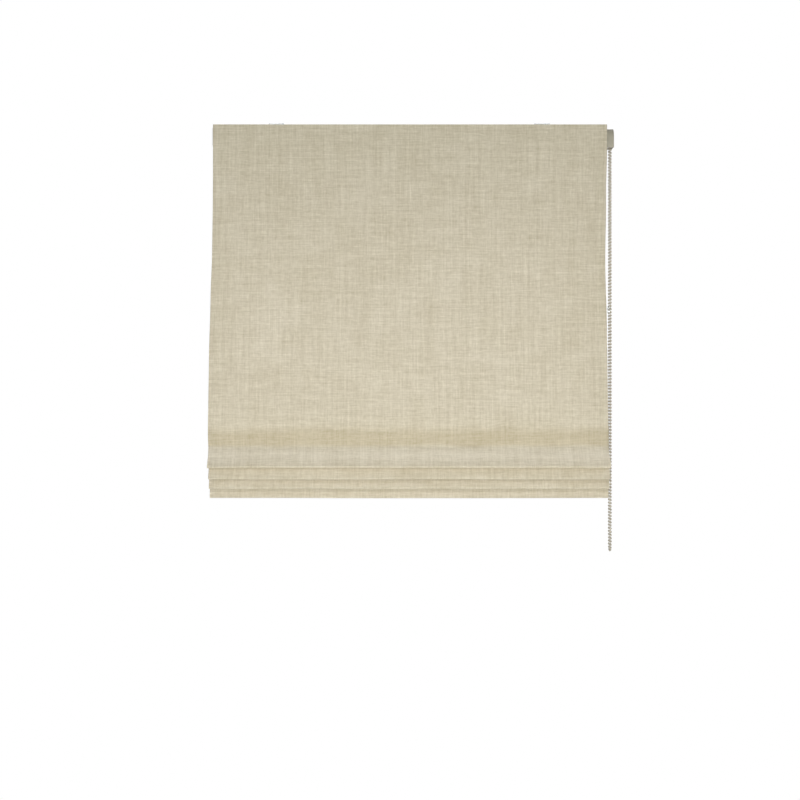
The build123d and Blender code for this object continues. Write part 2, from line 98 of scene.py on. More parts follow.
def new_material(name):
    """A material with its Principled shader, ready for its nodes."""
    made = bpy.data.materials.new(name)
    made.use_nodes = True
    return made, made.node_tree, made.node_tree.nodes["Principled BSDF"]


surround_strength = 0.30
floor_place = (0, 0, -1.46)
floor_radius = 0.7

# The surround that the camera, a reflection or a clear piece sees is white. What lights the cloth is weaker.
world = bpy.data.worlds.new("studio")
bpy.context.scene.world = world
world.use_nodes = True
tree = world.node_tree
tree.nodes.clear()
ray = add_node(tree, "LightPath")
seen = 0.0
for kind in ("Is Camera Ray", "Is Glossy Ray", "Is Transmission Ray"):
    seen = add_node(tree, "Math", {0: seen, 1: ray.outputs[kind]}, operation="MAXIMUM")
light_side = add_node(tree, "Background", {"Color": (1, 1, 1, 1), "Strength": surround_strength})
seen_side = add_node(tree, "Background", {"Color": (1, 1, 1, 1), "Strength": 1.0})
both = add_node(tree, "MixShader", {0: seen, 1: light_side, 2: seen_side})
add_node(tree, "OutputWorld", {"Surface": both})

bpy.ops.object.select_all(action="DESELECT")
bpy.ops.mesh.primitive_circle_add(vertices=96, radius=floor_radius, fill_type="NGON", location=floor_place)
floor_disc = bpy.context.object
floor_disc.name = "floor"
floor_paint, tree, shader = new_material("pale_floor")
shader.inputs["Base Color"].default_value = hex_colour("F2F1EE")
shader.inputs["Roughness"].default_value = 0.8
floor_disc.data.materials.append(floor_paint)

# Each box: its place, what it is aimed at, its size, its power in watts, and the spread of its light
soft_boxes = [
    ("gridded_box", (0.0, -2.54, 0.4), (0.0, 0.0, -0.52), (1.0, 0.95), 0.42, radians(15)),
    ("front_box", (0.2, -2.4, -1.05), (0.0, 0.0, -0.45), (1.8, 0.7), 34.0, pi),
    ("low_box", (-0.8, -1.9, -1.35), (0.0, 0.0, -0.6), (1.4, 0.8), 5.0, pi),
    ("back_box", (0.6, 2.4, 0.4), (0.0, 0.0, -0.35), (1.8, 1.8), 30.0, pi),
]
for name, place, target, size, power, spread in soft_boxes:
    lamp = bpy.data.lights.new(name, "AREA")
    lamp.shape = "RECTANGLE"
    lamp.size, lamp.size_y = size
    lamp.energy = power
    lamp.spread = spread
    stand = bpy.data.objects.new(name, lamp)
    stand.location = place
    stand.rotation_euler = (Vector(target) - Vector(place)).to_track_quat("-Z", "Y").to_euler()
    bpy.context.scene.collection.objects.link(stand)


# Face cloth. One sheet of heavy linen, plain woven from uneven yarns, its sides turned in by 25 mm and its
# foot turned up behind the bottom bar. It hangs flat, swells over the gathered rods and falls in three folds.
cloth_width = 740.0
cloth_top = -3.0
cloth_front = -23.0
face_thickness = 0.8
lining_thickness = 0.4
layer_gap = 0.3
layers = face_thickness + layer_gap + lining_thickness
side_hem_width = 25.0
side_hem_gap = 0.1

# The panel leans forward between two drops, down to the dent over the first fold
lean_start_drop, lean_end_drop = 117.0, 530.0
panel_lean = 36.0
dent_drop, dent_forward = 603.0, 37.0
lean_bend_radius, panel_bend_radius, dent_radius = 800.0, 300.0, 12.0

# Each fold: how low and how far forward its edge is, its depth, the radii of its front and back corners, and
# how low the cloth bends on its way up to the next rod and again on its way down from it
folds = [
    (643.0, 66.0, 17.5, 3.0, 4.0, 607.0, 609.0),
    (664.0, 59.0, 13.0, 2.6, 3.0, 613.0, 627.0),
    (682.0, 49.0, 12.5, 2.6, 2.5, 629.0, 637.0),
]
knee_radius = 8.0
crest_radius, crest_half_width = 0.69, 0.7
# Clear space between two crests, behind a leg that rises, and behind one that falls
leg_gap, knee_gap, turn_gap = 0.8, 0.65, 1.7

# The foot is turned up behind the bar, and bellies back a little on its way up
hem_drop, hem_forward = 700.0, 33.0
hem_pocket_depth = 12.0
hem_turn_up = 43.0
hem_belly_up, hem_belly_back = 27.0, 1.2
hem_corner_radius = 2.5

# The outer radius of a rod's pocket, and the play between pieces that lie against each other
pocket_outer = 2.7
seat_gap = 0.1
# Three rods lie behind the panel, and the last of them is the first of the four that the lift has gathered
first_gathered_drop, ring_pitch, gathered_count = 547.0, 18.0, 4
panel_rod_drops = [187.0, 367.0, first_gathered_drop]


def level(drop):
    """The height of a drop below the top edge of the cloth."""
    return cloth_top - drop


def panel_y(drop):
    """Where the face of the hanging panel is."""
    if drop < lean_end_drop:
        share = (drop - lean_start_drop) / (lean_end_drop - lean_start_drop)
        return cloth_front - panel_lean * max(share, 0)
    share = (drop - lean_end_drop) / (dent_drop - lean_end_drop)
    return cloth_front - panel_lean - (dent_forward - panel_lean) * share


crest_rise = pocket_outer + 3 * seat_gap + layers
crest_drops = [first_gathered_drop + ring_pitch * k + crest_rise for k in range(1, gathered_count)]
crest_ys = [panel_y(crest_drops[0]) + 2 * layers + leg_gap + crest_half_width]
for _ in crest_drops[1:]:
    crest_ys.append(crest_ys[-1] + 2 * crest_half_width + 2 * layers + leg_gap)

# The run of the cloth seen from the side: corners, each with the radius that rounds it
cloth_run = [((cloth_front, cloth_top), 0)]
cloth_run.append(((cloth_front, level(lean_start_drop)), lean_bend_radius))
cloth_run.append(((cloth_front - panel_lean, level(lean_end_drop)), panel_bend_radius))
cloth_run.append(((cloth_front - dent_forward, level(dent_drop)), dent_radius))
leg_y = cloth_front - dent_forward
for fold, crest_y, crest_drop in zip(folds, crest_ys, crest_drops):
    fold_drop, forward, depth, front_radius, back_radius, rising_knee, falling_knee = fold
    edge = cloth_front - forward
    cloth_run.append(((edge, level(fold_drop)), front_radius))
    cloth_run.append(((edge + depth, level(fold_drop)), back_radius))
    leg_y += 2 * layers + knee_gap
    cloth_run.append(((leg_y, level(rising_knee)), knee_radius))
    cloth_run.append(((crest_y - crest_half_width, level(crest_drop)), crest_radius))
    cloth_run.append(((crest_y + crest_half_width, level(crest_drop)), crest_radius))
    leg_y += turn_gap
    cloth_run.append(((leg_y, level(falling_knee)), knee_radius))


def hem_leg_y(drop):
    """Where the face of the last hanging leg is."""
    (top_y, top_z), _ = cloth_run[-1]
    share = (top_z - level(drop)) / (top_z - level(hem_drop))
    return top_y + (cloth_front - hem_forward - top_y) * share


hem_top = hem_drop - hem_turn_up
hem_back = cloth_front - hem_forward + hem_pocket_depth
hem_run = [
    ((cloth_front - hem_forward, level(hem_drop)), hem_corner_radius),
    ((hem_back, level(hem_drop)), hem_corner_radius),
    ((hem_back + hem_belly_back, level(hem_drop - hem_belly_up)), knee_radius),
    ((hem_leg_y(hem_top) + 2 * layers, level(hem_top)), 0),
]


def rounded(run, straight_step=9.0, turn_step=radians(9)):
    """Follows a run with its corners rounded: (place, direction, length so far) at each row of the cloth."""
    rows = []
    corners = [Vector(point) for point, _ in run]
    cursor = corners[0]
    length = 0.0
    for k in range(1, len(corners)):
        way = (corners[k] - cursor).normalized()
        cut = 0.0
        if k < len(corners) - 1:
            onward = (corners[k + 1] - corners[k]).normalized()
            bend = acos(max(-1, min(1, way.dot(onward))))
            cut = run[k][1] * tan(bend / 2)
        reach = (corners[k] - cursor).length - cut
        steps = max(1, round(reach / straight_step))
        for s in range(steps):
            rows.append((cursor + way * reach * s / steps, way.copy(), length + reach * s / steps))
        length += reach
        cursor = cursor + way * reach
        if cut:
            radius = run[k][1]
            side = 1 if way.x * onward.y - way.y * onward.x > 0 else -1
            across = Vector((-way.y, way.x)) * side
            centre = cursor + across * radius
            steps = max(2, round(bend / turn_step))
            for s in range(steps):
                angle = bend * s / steps
                place = centre - across * radius * cos(angle) + way * radius * sin(angle)
                rows.append((place, way * cos(angle) + across * sin(angle), length + radius * angle))
            length += radius * bend
            cursor = centre - across * radius * cos(bend) + way * radius * sin(bend)
    rows.append((cursor, way.copy(), length))
    return rows


def eased(table, at):
    """Reads a table of (place, value) with a soft turn at each entry."""
    if at <= table[0][0]:
        return table[0][1]
    for (a, low), (b, high) in zip(table, table[1:]):
        if at < b:
            share = (at - a) / (b - a)
            return low + (high - low) * share * share * (3 - 2 * share)
    return table[-1][1]


# How the hung cloth departs from its plane, by the length of cloth above: its sides wander by a few
# millimetres, and it swells just above the dent, so that the strip down to the dent faces a little downwards
left_wander = [
    (150, 1.2), (240, 0.8), (330, -1.2), (440, -3.0), (590, -3.6), (625, -2.2), (650, -2.6), (720, -1.0),
]
right_wander = [
    (40, 1.4), (140, -0.8), (270, -3.6), (380, -2.0), (460, -1.6), (590, -1.4), (650, 0.6), (720, 0.0),
]
swell = [(520, 0.0), (575, 3.2), (604, 0.0)]
# Slow waves of the panel and of the fold edges: how high, and how long across and down
drift_height, drift_across, drift_down = 0.45, 210.0, 260.0
sag_height, sag_across, sag_down = 0.7, 190.0, 90.0
sag_start, sag_full = 560.0, 620.0


def drift(x, z):
    """How far the hung cloth stands off its true plane, in millimetres."""
    return drift_height * noise.noise(Vector((x / drift_across, z / drift_down, 3.7)))


def sag(x, length):
    """How far an edge of a fold wanders up or down along the width, in millimetres."""
    share = min(max((length - sag_start) / (sag_full - sag_start), 0), 1)
    return share * sag_height * noise.noise(Vector((x / sag_across, length / sag_down, 8.1)))


def wander(x, length):
    """How far the cloth has moved sideways: its whole width takes part, its sides the most."""
    table = left_wander if x < 0 else right_wander
    return eased(table, length) * (x / (cloth_width / 2)) ** 2


def weave_sheet(name, rows, columns):
    """A sheet with one row of corners for each step of its run. Columns are (across, depth, flat across)."""
    corners, flat = [], []
    for place, way, length in rows:
        back = Vector((-way.y, way.x))
        for x, depth, across in columns:
            spot = place + back * depth
            y = spot.x + drift(x, spot.y) - eased(swell, length)
            corners.append(Vector((x + wander(x, length), y, spot.y + sag(x, length))) * mm)
            flat.append((across * mm, -length * mm))
    wide = len(columns)
    faces = [
        (r * wide + c, (r + 1) * wide + c, (r + 1) * wide + c + 1, r * wide + c + 1)
        for r in range(len(rows) - 1)
        for c in range(wide - 1)
    ]
    mesh = bpy.data.meshes.new(name)
    mesh.from_pydata(corners, [], faces)
    mesh.update()
    thread_map = mesh.uv_layers.new(name="threads")
    for loop in mesh.loops:
        thread_map.data[loop.index].uv = flat[loop.vertex_index]
    piece = bpy.data.objects.new(name, mesh)
    bpy.context.scene.collection.objects.link(piece)
    return piece


def pick(piece):
    """Selects one piece alone and makes it active."""
    bpy.ops.object.select_all(action="DESELECT")
    piece.select_set(True)
    bpy.context.view_layer.objects.active = piece


def thicken(piece, thickness):
    """Gives a sheet its real thickness, behind its face, and smooths it apart from its cut edges."""
    pick(piece)
    wall = piece.modifiers.new("wall", "SOLIDIFY")
    wall.thickness = thickness * mm
    wall.offset = -1
    wall.use_even_offset = True
    bpy.ops.object.modifier_apply(modifier="wall")
    bpy.ops.object.shade_smooth_by_angle(angle=radians(50))


side_depth = 2 * face_thickness + side_hem_gap
side_radius = side_depth / 2
straight_half = cloth_width / 2 - side_radius
column_step = 9.6
side_turns = 6

half_columns = []
column_count = round(straight_half / column_step)
for c in range(column_count + 1):
    half_columns.append((straight_half * c / column_count, 0.0, straight_half * c / column_count))
for s in range(1, side_turns + 1):
    angle = pi * s / side_turns
    x = straight_half + side_radius * sin(angle)
    half_columns.append((x, side_radius - side_radius * cos(angle), straight_half + side_radius * angle))
return_width = side_hem_width - side_radius
for share in (0.33, 0.67, 1.0):
    inward = return_width * share
    half_columns.append((straight_half - inward, side_depth, straight_half + side_radius * pi + inward))
face_columns = [(-x, depth, -across) for x, depth, across in reversed(half_columns[1:])] + half_columns
face_rows = rounded(cloth_run + hem_run)
cut_width = 2 * half_columns[-1][2]
cut_length = face_rows[-1][2]

face_cloth = weave_sheet("linen_face", face_rows, face_columns)
thicken(face_cloth, face_thickness)


def yarn_noise(tree, threads, across, along, shift):
    """Noise drawn out to a size across and down the cloth, in millimetres, as thick and thin yarns are."""
    size = (1000 / across, 1000 / along, 1)
    spread = add_node(tree, "Mapping", {"Vector": threads, "Location": shift, "Scale": size})
    return add_node(tree, "TexNoise", {"Vector": spread, "Scale": 1.0, "Detail": 2.0}, noise_dimensions="2D")


# Linen: flax yarns vary in thickness, so the tone varies yarn by yarn both ways, with short pale slubs. Matt,
# with the faint sheen of loose fibre ends. Its yarns are 0.9 mm apart, drawn two and three together to show.
linen_tone = "D0C7B0"
# What a yarn adds when it is paler or takes away when it is darker: nearly grey
yarn_shade = (0.60, 0.60, 0.61)
yarn_pitch = 1.8
# Streaks of yarn: size across and down in millimetres, strength, and a seed
yarn_streaks = [
    (2.9, 11.0, 0.20, 1.3),
    (13.0, 2.7, 0.24, 4.9),
    (3.0, 70.0, 0.22, 9.2),
    (60.0, 2.8, 0.24, 12.4),
    (7.0, 260.0, 0.16, 15.5),
    (150.0, 9.0, 0.12, 18.1),
    (45.0, 40.0, 0.10, 24.8),
    (170.0, 150.0, 0.08, 27.3),
]
# Slubs: size, the noise at which one starts and is full, brightness, and a seed
slub_kinds = [(18.0, 2.0, 0.66, 0.76, 0.10, 21.0), (2.1, 24.0, 0.70, 0.80, 0.07, 33.0)]
# The three thickest, which show from across a room: where, how wide, how tall, and how bright
thick_slubs = [
    (2.0, 129.0, 2.4, 47.0, 0.15),
    (126.0, 384.0, 18.0, 2.2, 0.12),
    (-118.0, 224.0, 44.0, 1.8, 0.09),
]
# Painted light on the belly over the gathered rods: the drop it centres on, how far it reaches, and how much
# paler it is
lit_belly_drop, lit_belly_reach, lit_belly_tone = 625.0, 25.0, 0.185
# The crease's painted shade: its colour, then the drops at which it starts, is full, fades and ends, give or
# take half of its waver
painted_crease_shade = "EFECE4"
crease_drops = (568.0, 580.0, 601.0, 607.0)
crease_waver, waver_across, waver_down = 14.0, 71.4, 33.3
# Painted shade at the top of the cloth: its colour, the drop where it ends, and how quickly it fades
top_shade_colour = "F9FAF9"
top_shade_drop, top_shade_curve = 560.0, 2.2
stitch_thread = "E6DFCB"
stitch_pitch, stitch_length, stitch_width, stitch_inset = 9.0, 3.2, 0.7, 2.0
# How far the weave, the slubs and the stitches stand up
weave_height, slub_height, stitch_height = 0.04, 0.8, 0.3

linen, tree, shader = new_material("woven_slub_linen")
threads = add_node(tree, "UVMap", uv_map="threads")
spot = add_node(tree, "SeparateXYZ", {0: threads})
aside = add_node(tree, "Math", {0: spot.outputs[0], 1: 1000.0}, operation="MULTIPLY")
down = add_node(tree, "Math", {0: spot.outputs[1], 1: -1000.0}, operation="MULTIPLY")
tone = -sum(strength for _, _, strength, _ in yarn_streaks) / 2
for across, along, strength, seed in yarn_streaks:
    grain = yarn_noise(tree, threads, across, along, (seed, seed * 0.7, 0))
    tone = add_node(tree, "Math", {0: grain, 1: strength, 2: tone}, operation="MULTIPLY_ADD")
slubs = 0.0
for across, along, start, full, strength, seed in slub_kinds:
    grain = yarn_noise(tree, threads, across, along, (seed, seed * 0.7, 0))
    lump = add_node(tree, "MapRange", {"Value": grain, "From Min": start, "From Max": full})
    slubs = add_node(tree, "Math", {0: lump, 1: strength, 2: slubs}, operation="MULTIPLY_ADD")
for x, drop, wide, tall, strength in thick_slubs:
    place = (-x * 2 / wide, drop * 2 / tall, 0)
    size = (2000 / wide, 2000 / tall, 0)
    spread = add_node(tree, "Mapping", {"Vector": threads, "Location": place, "Scale": size})
    reach = add_node(tree, "VectorMath", {0: spread}, operation="LENGTH").outputs["Value"]
    fading = {"Value": reach, "From Min": 0.4, "From Max": 1.0, "To Min": 1.0, "To Max": 0.0}
    lump = add_node(tree, "MapRange", fading)
    slubs = add_node(tree, "Math", {0: lump, 1: strength, 2: slubs}, operation="MULTIPLY_ADD")
tone = add_node(tree, "Math", {0: tone, 1: slubs}, operation="ADD")

# Where the cloth swells over the gathered rods, its upward facing belly is painted a little paler: painted
# light
far = add_node(tree, "Math", {0: down, 1: lit_belly_drop}, operation="SUBTRACT")
far = add_node(tree, "Math", {0: far}, operation="ABSOLUTE")
fading = {"Value": far, "From Max": lit_belly_reach, "To Min": lit_belly_tone, "To Max": 0.0}
lit_belly = add_node(tree, "MapRange", fading)
tone = add_node(tree, "Math", {0: tone, 1: lit_belly}, operation="ADD")
shading = {0: tone, 1: yarn_shade, 2: hex_colour(linen_tone)[:3]}
colour = add_node(tree, "VectorMath", shading, operation="MULTIPLY_ADD")

# A soft crease above the dent, where the cloth folds each time it is raised: painted shade, a little darker
# and yellower.
# Inputs 6 and 7 of a Mix node and its output 2 are colours.
grain = yarn_noise(tree, threads, waver_across, waver_down, (0, 0, 0))
wavy = add_node(tree, "Math", {0: grain, 1: crease_waver, 2: down}, operation="MULTIPLY_ADD")
starts, full, fades, ends = (drop + crease_waver / 2 for drop in crease_drops)
begin = add_node(tree, "MapRange", {"Value": wavy, "From Min": starts, "From Max": full})
fading = {"Value": wavy, "From Min": fades, "From Max": ends, "To Min": 1.0, "To Max": 0.0}
end = add_node(tree, "MapRange", fading)
crease = add_node(tree, "Math", {0: begin, 1: end}, operation="MULTIPLY")
shade_and_stitch_mix = {0: crease, 6: colour, 7: hex_colour(painted_crease_shade)}
colour = add_node(tree, "Mix", shade_and_stitch_mix, data_type="RGBA", blend_type="MULTIPLY").outputs[2]

# Its top is painted darker than the rest: painted shade from the head of a window over it
share = add_node(tree, "MapRange", {"Value": down, "From Max": top_shade_drop, "To Min": 1.0, "To Max": 0.0})
share = add_node(tree, "Math", {0: share, 1: top_shade_curve}, operation="POWER")
shade_and_stitch_mix = {0: share, 6: colour, 7: hex_colour(top_shade_colour)}
colour = add_node(tree, "Mix", shade_and_stitch_mix, data_type="RGBA", blend_type="MULTIPLY").outputs[2]

# Slip stitches on the back hold the turned sides and the turned up foot, a little in from the cut edge
sideways = add_node(tree, "Math", {0: aside}, operation="ABSOLUTE")
seams = []
for out, cut_edge, run in ((sideways, cut_width / 2, down), (down, cut_length, aside)):
    seam = {0: out, 1: cut_edge - stitch_inset, 2: stitch_width / 2}
    in_line = add_node(tree, "Math", seam, operation="COMPARE")
    beat = add_node(tree, "Math", {0: run, 1: stitch_pitch}, operation="FLOORED_MODULO")
    stitch = add_node(tree, "Math", {0: beat, 1: stitch_length}, operation="LESS_THAN")
    seams.append(add_node(tree, "Math", {0: stitch, 1: in_line}, operation="MULTIPLY"))
stitched = add_node(tree, "Math", {0: seams[0], 1: seams[1]}, operation="MAXIMUM")
shade_and_stitch_mix = {0: stitched, 6: colour, 7: hex_colour(stitch_thread)}
colour = add_node(tree, "Mix", shade_and_stitch_mix, data_type="RGBA").outputs[2]
tree.links.new(colour, shader.inputs["Base Color"])
shader.inputs["Roughness"].default_value = 0.92
shader.inputs["Specular IOR Level"].default_value = 0.2
shader.inputs["Sheen Weight"].default_value = 0.06
shader.inputs["Sheen Roughness"].default_value = 0.5

over = 1.0
for way in (0, 1):
    wave = add_node(tree, "Math", {0: spot.outputs[way], 1: 2000 * pi / yarn_pitch}, operation="MULTIPLY")
    wave = add_node(tree, "Math", {0: wave}, operation="SINE")
    over = add_node(tree, "Math", {0: over, 1: wave}, operation="MULTIPLY")
height = 0.0
for pattern, rise in ((over, weave_height), (slubs, slub_height), (stitched, stitch_height)):
    height = add_node(tree, "Math", {0: pattern, 1: rise * mm, 2: height}, operation="MULTIPLY_ADD")
relief = add_node(tree, "Bump", {"Height": height, "Distance": 1.0, "Strength": 0.8})
tree.links.new(relief.outputs[0], shader.inputs["Normal"])
face_cloth.data.materials.append(linen)

blend_top = Vector((0, 0, level(0))) * mm
blend_foot = Vector((0, 0, level(hem_drop))) * mm
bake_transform(face_cloth, "headrail", "hem_bar", start=blend_top, end=blend_foot)

# Where the middle of each rod is: three behind the panel, and one in the crest behind each fold
rod_seats = [(panel_y(d) + crest_rise, level(d)) for d in panel_rod_drops]
rod_seats += [(y, level(first_gathered_drop + ring_pitch * (k + 1))) for k, y in enumerate(crest_ys)]
# Cloth this near to the middle of a rod goes with it. Further away its share of the lift may differ, by no
# more than a full lift can close up.
wrap_reach = 4.0
full_lift = 430.0


def cling(cloth):
    """Gives cloth that lies against a rod the rod's share of the lift, and lets no cloth turn over."""
    shares = cloth.data.attributes["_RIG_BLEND"].data
    for point, share in zip(cloth.data.vertices, shares):
        y, z = point.co.y / mm, point.co.z / mm
        away, down = min((hypot(y - rod_y, z - rod_z), level(0) - rod_z) for rod_y, rod_z in rod_seats)
        rod_share = (down / hem_drop) ** 2 * (3 - 2 * down / hem_drop)
        room = max(0.0, away - wrap_reach) / full_lift
        share.value = rod_share + max(-room, min(room, share.value - rod_share))


cling(face_cloth)
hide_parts("face_fabric")


# Lining. A closer, smoother cotton, cut to lie inside the side hems and slipped under the turned up foot. It
# is what the light sees from behind, and what the rod pockets are sewn to.
lining_width = cloth_width - 2 * (side_hem_width + 1.0)
lining_columns = []
lining_count = 48
for c in range(lining_count + 1):
    x = lining_width * (c / lining_count - 0.5)
    lining_columns.append((x, layers - lining_thickness, x))
lining_rows = rounded(cloth_run + [((hem_leg_y(hem_top), level(hem_top)), 0)])
lining = weave_sheet("cotton_lining", lining_rows, lining_columns)
thicken(lining, lining_thickness)


def tint(tree, shader, code, tone):
    """Gives a material its colour, made lighter or darker from place to place by a tone."""
    colour = add_node(tree, "VectorMath", {0: hex_colour(code)[:3], "Scale": tone}, operation="SCALE")
    tree.links.new(colour.outputs[0], shader.inputs["Base Color"])


# Cotton sateen: fine even yarns, matt, off white, each yarn a little lighter or darker.
lining_yarn_pitch, lining_yarn_run = 1.2, 12.5
lining_streaks = [(1.4, 80.0, 0.08, 2.2), (60.0, 1.4, 0.08, 5.2), (90.0, 120.0, 0.05, 8.4)]
sateen, tree, shader = new_material("cotton_sateen")
threads = add_node(tree, "UVMap", uv_map="threads")
tone = 1 - sum(strength for _, _, strength, _ in lining_streaks) / 2
for across, along, strength, seed in lining_streaks:
    grain = yarn_noise(tree, threads, across, along, (seed, seed, 0))
    tone = add_node(tree, "Math", {0: grain, 1: strength, 2: tone}, operation="MULTIPLY_ADD")
tint(tree, shader, "E9E4D6", tone)
shader.inputs["Roughness"].default_value = 0.85
shader.inputs["Specular IOR Level"].default_value = 0.25
ribbing = (1000 / lining_yarn_pitch, 1000 / lining_yarn_run, 1)
spread = add_node(tree, "Mapping", {"Vector": threads, "Scale": ribbing})
ribs = add_node(tree, "TexNoise", {"Vector": spread, "Scale": 1.0, "Detail": 1.0}, noise_dimensions="2D")
relief = add_node(tree, "Bump", {"Height": ribs, "Distance": 0.08 * mm, "Strength": 0.6})
tree.links.new(relief.outputs[0], shader.inputs["Normal"])
lining.data.materials.append(sateen)

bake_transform(lining, "headrail", "hem_bar", start=blend_top, end=blend_foot)
cling(lining)
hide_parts("lining")


# Rods. Six drawn glass fibre rods, cut as long as the cloth is wide between its side hems, their ends bare.
rod_radius = 2.0
rod_length = cloth_width - 2 * side_hem_width
rod_chamfer = 0.25


def turned(name, stations, place, sides=48, turn=(0, pi / 2, 0)):
    """A turned shape: a disc, drawn out and widened or narrowed to each station (along, radius)."""
    bpy.ops.object.select_all(action="DESELECT")
    along, radius = stations[0]
    start = (0, 0, along * mm)
    bpy.ops.mesh.primitive_circle_add(vertices=sides, radius=radius * mm, fill_type="NGON", location=start)
    made = bpy.context.object
    made.name = name
    bpy.ops.object.transform_apply(location=True)
    bpy.ops.object.mode_set(mode="EDIT")
    bpy.ops.mesh.select_mode(type="FACE")
    bpy.ops.mesh.select_all(action="SELECT")
    for next_along, next_radius in stations[1:]:
        bpy.ops.mesh.extrude_region_move(TRANSFORM_OT_translate={"value": (0, 0, (next_along - along) * mm)})
        share = next_radius / radius
        bpy.ops.transform.resize(value=(share, share, 1), center_override=(0, 0, next_along * mm))
        along, radius = next_along, next_radius
    bpy.ops.mesh.select_all(action="SELECT")
    bpy.ops.mesh.normals_make_consistent(inside=False)
    bpy.ops.object.mode_set(mode="OBJECT")
    made.rotation_euler = turn
    made.location = Vector(place) * mm
    bpy.ops.object.transform_apply(location=True, rotation=True, scale=True)
    return made


def soften(piece, width, segments=2):
    """Breaks the sharp edges of a piece, as a mould or a file does."""
    pick(piece)
    edge = piece.modifiers.new("edge", "BEVEL")
    edge.width = width * mm
    edge.segments = segments
    edge.limit_method = "ANGLE"
    edge.angle_limit = radians(40)
    bpy.ops.object.modifier_apply(modifier="edge")
    bpy.ops.object.shade_smooth_by_angle(angle=radians(40))


def again(piece, name, shift):
    """Another piece of the same shape, moved in millimetres, with a mesh of its own."""
    pick(piece)
    bpy.ops.object.duplicate(linked=False)
    made = bpy.context.object
    made.name = name
    made.location = Vector(shift) * mm
    bpy.ops.object.transform_apply(location=True)
    return made


def settle(piece, body, slot, finish, *replaced):
    """Gives a finished piece its material, and lets it ride where the real one is held."""
    piece.data.materials.clear()
    piece.data.materials.append(finish)
    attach(piece, body)
    if replaced:
        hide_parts(*replaced)


def at_each_rod(first, name, slot, finish, node):
    """Repeats the piece made for the first rod at the other five, and lets each ride its rod."""
    for number, (y, z) in enumerate(rod_seats, 1):
        shift = (0, y - rod_seats[0][0], z - rod_seats[0][1])
        piece = first if number == 1 else again(first, f"{name}_{number}", shift)
        settle(piece, f"rod_{number}", slot, finish, f"{node}_{number}")


def shade(tree, shader, pattern, code, low, high):
    """Gives a material a colour that follows a noise, which keeps between about 0.3 and 0.7."""
    follows = {"Value": pattern, "From Min": 0.3, "From Max": 0.7, "To Min": low, "To Max": high}
    tint(tree, shader, code, add_node(tree, "MapRange", follows))


# Drawn glass fibre: fine bundles run along it under a clear resin skin, so it is streaked and half glossy.
bundle_length, bundle_width = 50.0, 0.4
fibre, tree, shader = new_material("drawn_glass_fibre")
place = add_node(tree, "TexCoord").outputs["Object"]
size = (1000 / bundle_length, 1000 / bundle_width, 1000 / bundle_width)
spread = add_node(tree, "Mapping", {"Vector": place, "Scale": size})
bundle = add_node(tree, "TexNoise", {"Vector": spread, "Scale": 1.0, "Detail": 3.0})
shade(tree, shader, bundle, "E0E2DA", 0.88, 1.05)
shader.inputs["Roughness"].default_value = 0.35
relief = add_node(tree, "Bump", {"Height": bundle, "Distance": 0.05 * mm, "Strength": 0.4})
tree.links.new(relief.outputs[0], shader.inputs["Normal"])

half = rod_length / 2
end_radius = 0.86 * rod_radius
first_y, first_z = rod_seats[0]
rod_stations = [(-half, end_radius), (-half + rod_chamfer, rod_radius)]
rod_stations += [(half - rod_chamfer, rod_radius), (half, end_radius)]
first_rod = turned("fibre_rod_1", rod_stations, (0, first_y, first_z), sides=28)
bpy.ops.object.shade_smooth_by_angle(angle=radians(30))
at_each_rod(first_rod, "fibre_rod", "rod_plastic", fibre, "rod")


# Rod pockets. A cotton tape folded into a tube round each rod and sewn by one long seam to the lining. The
# tube is open at both ends and puckers a little between the stitches.
pocket_length = rod_length - 6.0
pocket_wall = 0.4
pucker_pitch, pucker_height, pucker_limit = 9.0, 0.14, 0.05
seam_pitch = 3.0
rib_length, rib_width = 1.43, 0.625

# Cotton tape: twilled, so finely ribbed, off white and matt, with a seam whose stitches pull it in.
twill, tree, shader = new_material("cotton_twill_tape")
place = add_node(tree, "TexCoord").outputs["Object"]
spot = add_node(tree, "SeparateXYZ", {0: place})
along = add_node(tree, "Math", {0: spot.outputs[0], 1: 2000 * pi / seam_pitch}, operation="MULTIPLY")
stitch = add_node(tree, "Math", {0: along}, operation="SINE")
size = (1000 / rib_length, 1000 / rib_width, 1000 / rib_width)
spread = add_node(tree, "Mapping", {"Vector": place, "Scale": size})
fuzz = add_node(tree, "TexNoise", {"Vector": spread, "Scale": 1.0, "Detail": 2.0})
tone = add_node(tree, "Math", {0: fuzz, 1: 0.16, 2: 0.92}, operation="MULTIPLY_ADD")
tone = add_node(tree, "Math", {0: stitch, 1: 0.02, 2: tone}, operation="MULTIPLY_ADD")
tint(tree, shader, "E1DBCA", tone)
shader.inputs["Roughness"].default_value = 0.88
shader.inputs["Specular IOR Level"].default_value = 0.2
height = add_node(tree, "Math", {0: stitch, 1: 0.4, 2: fuzz}, operation="MULTIPLY_ADD")
relief = add_node(tree, "Bump", {"Height": height, "Distance": 0.15 * mm, "Strength": 0.7})
tree.links.new(relief.outputs[0], shader.inputs["Normal"])


def ready(kind):
    """Leaves nothing selected on the active piece, ready for its vertices, edges or faces to be picked."""
    bpy.ops.object.mode_set(mode="EDIT")
    bpy.ops.mesh.select_mode(type=kind)
    bpy.ops.mesh.select_all(action="DESELECT")
    bpy.ops.object.mode_set(mode="OBJECT")


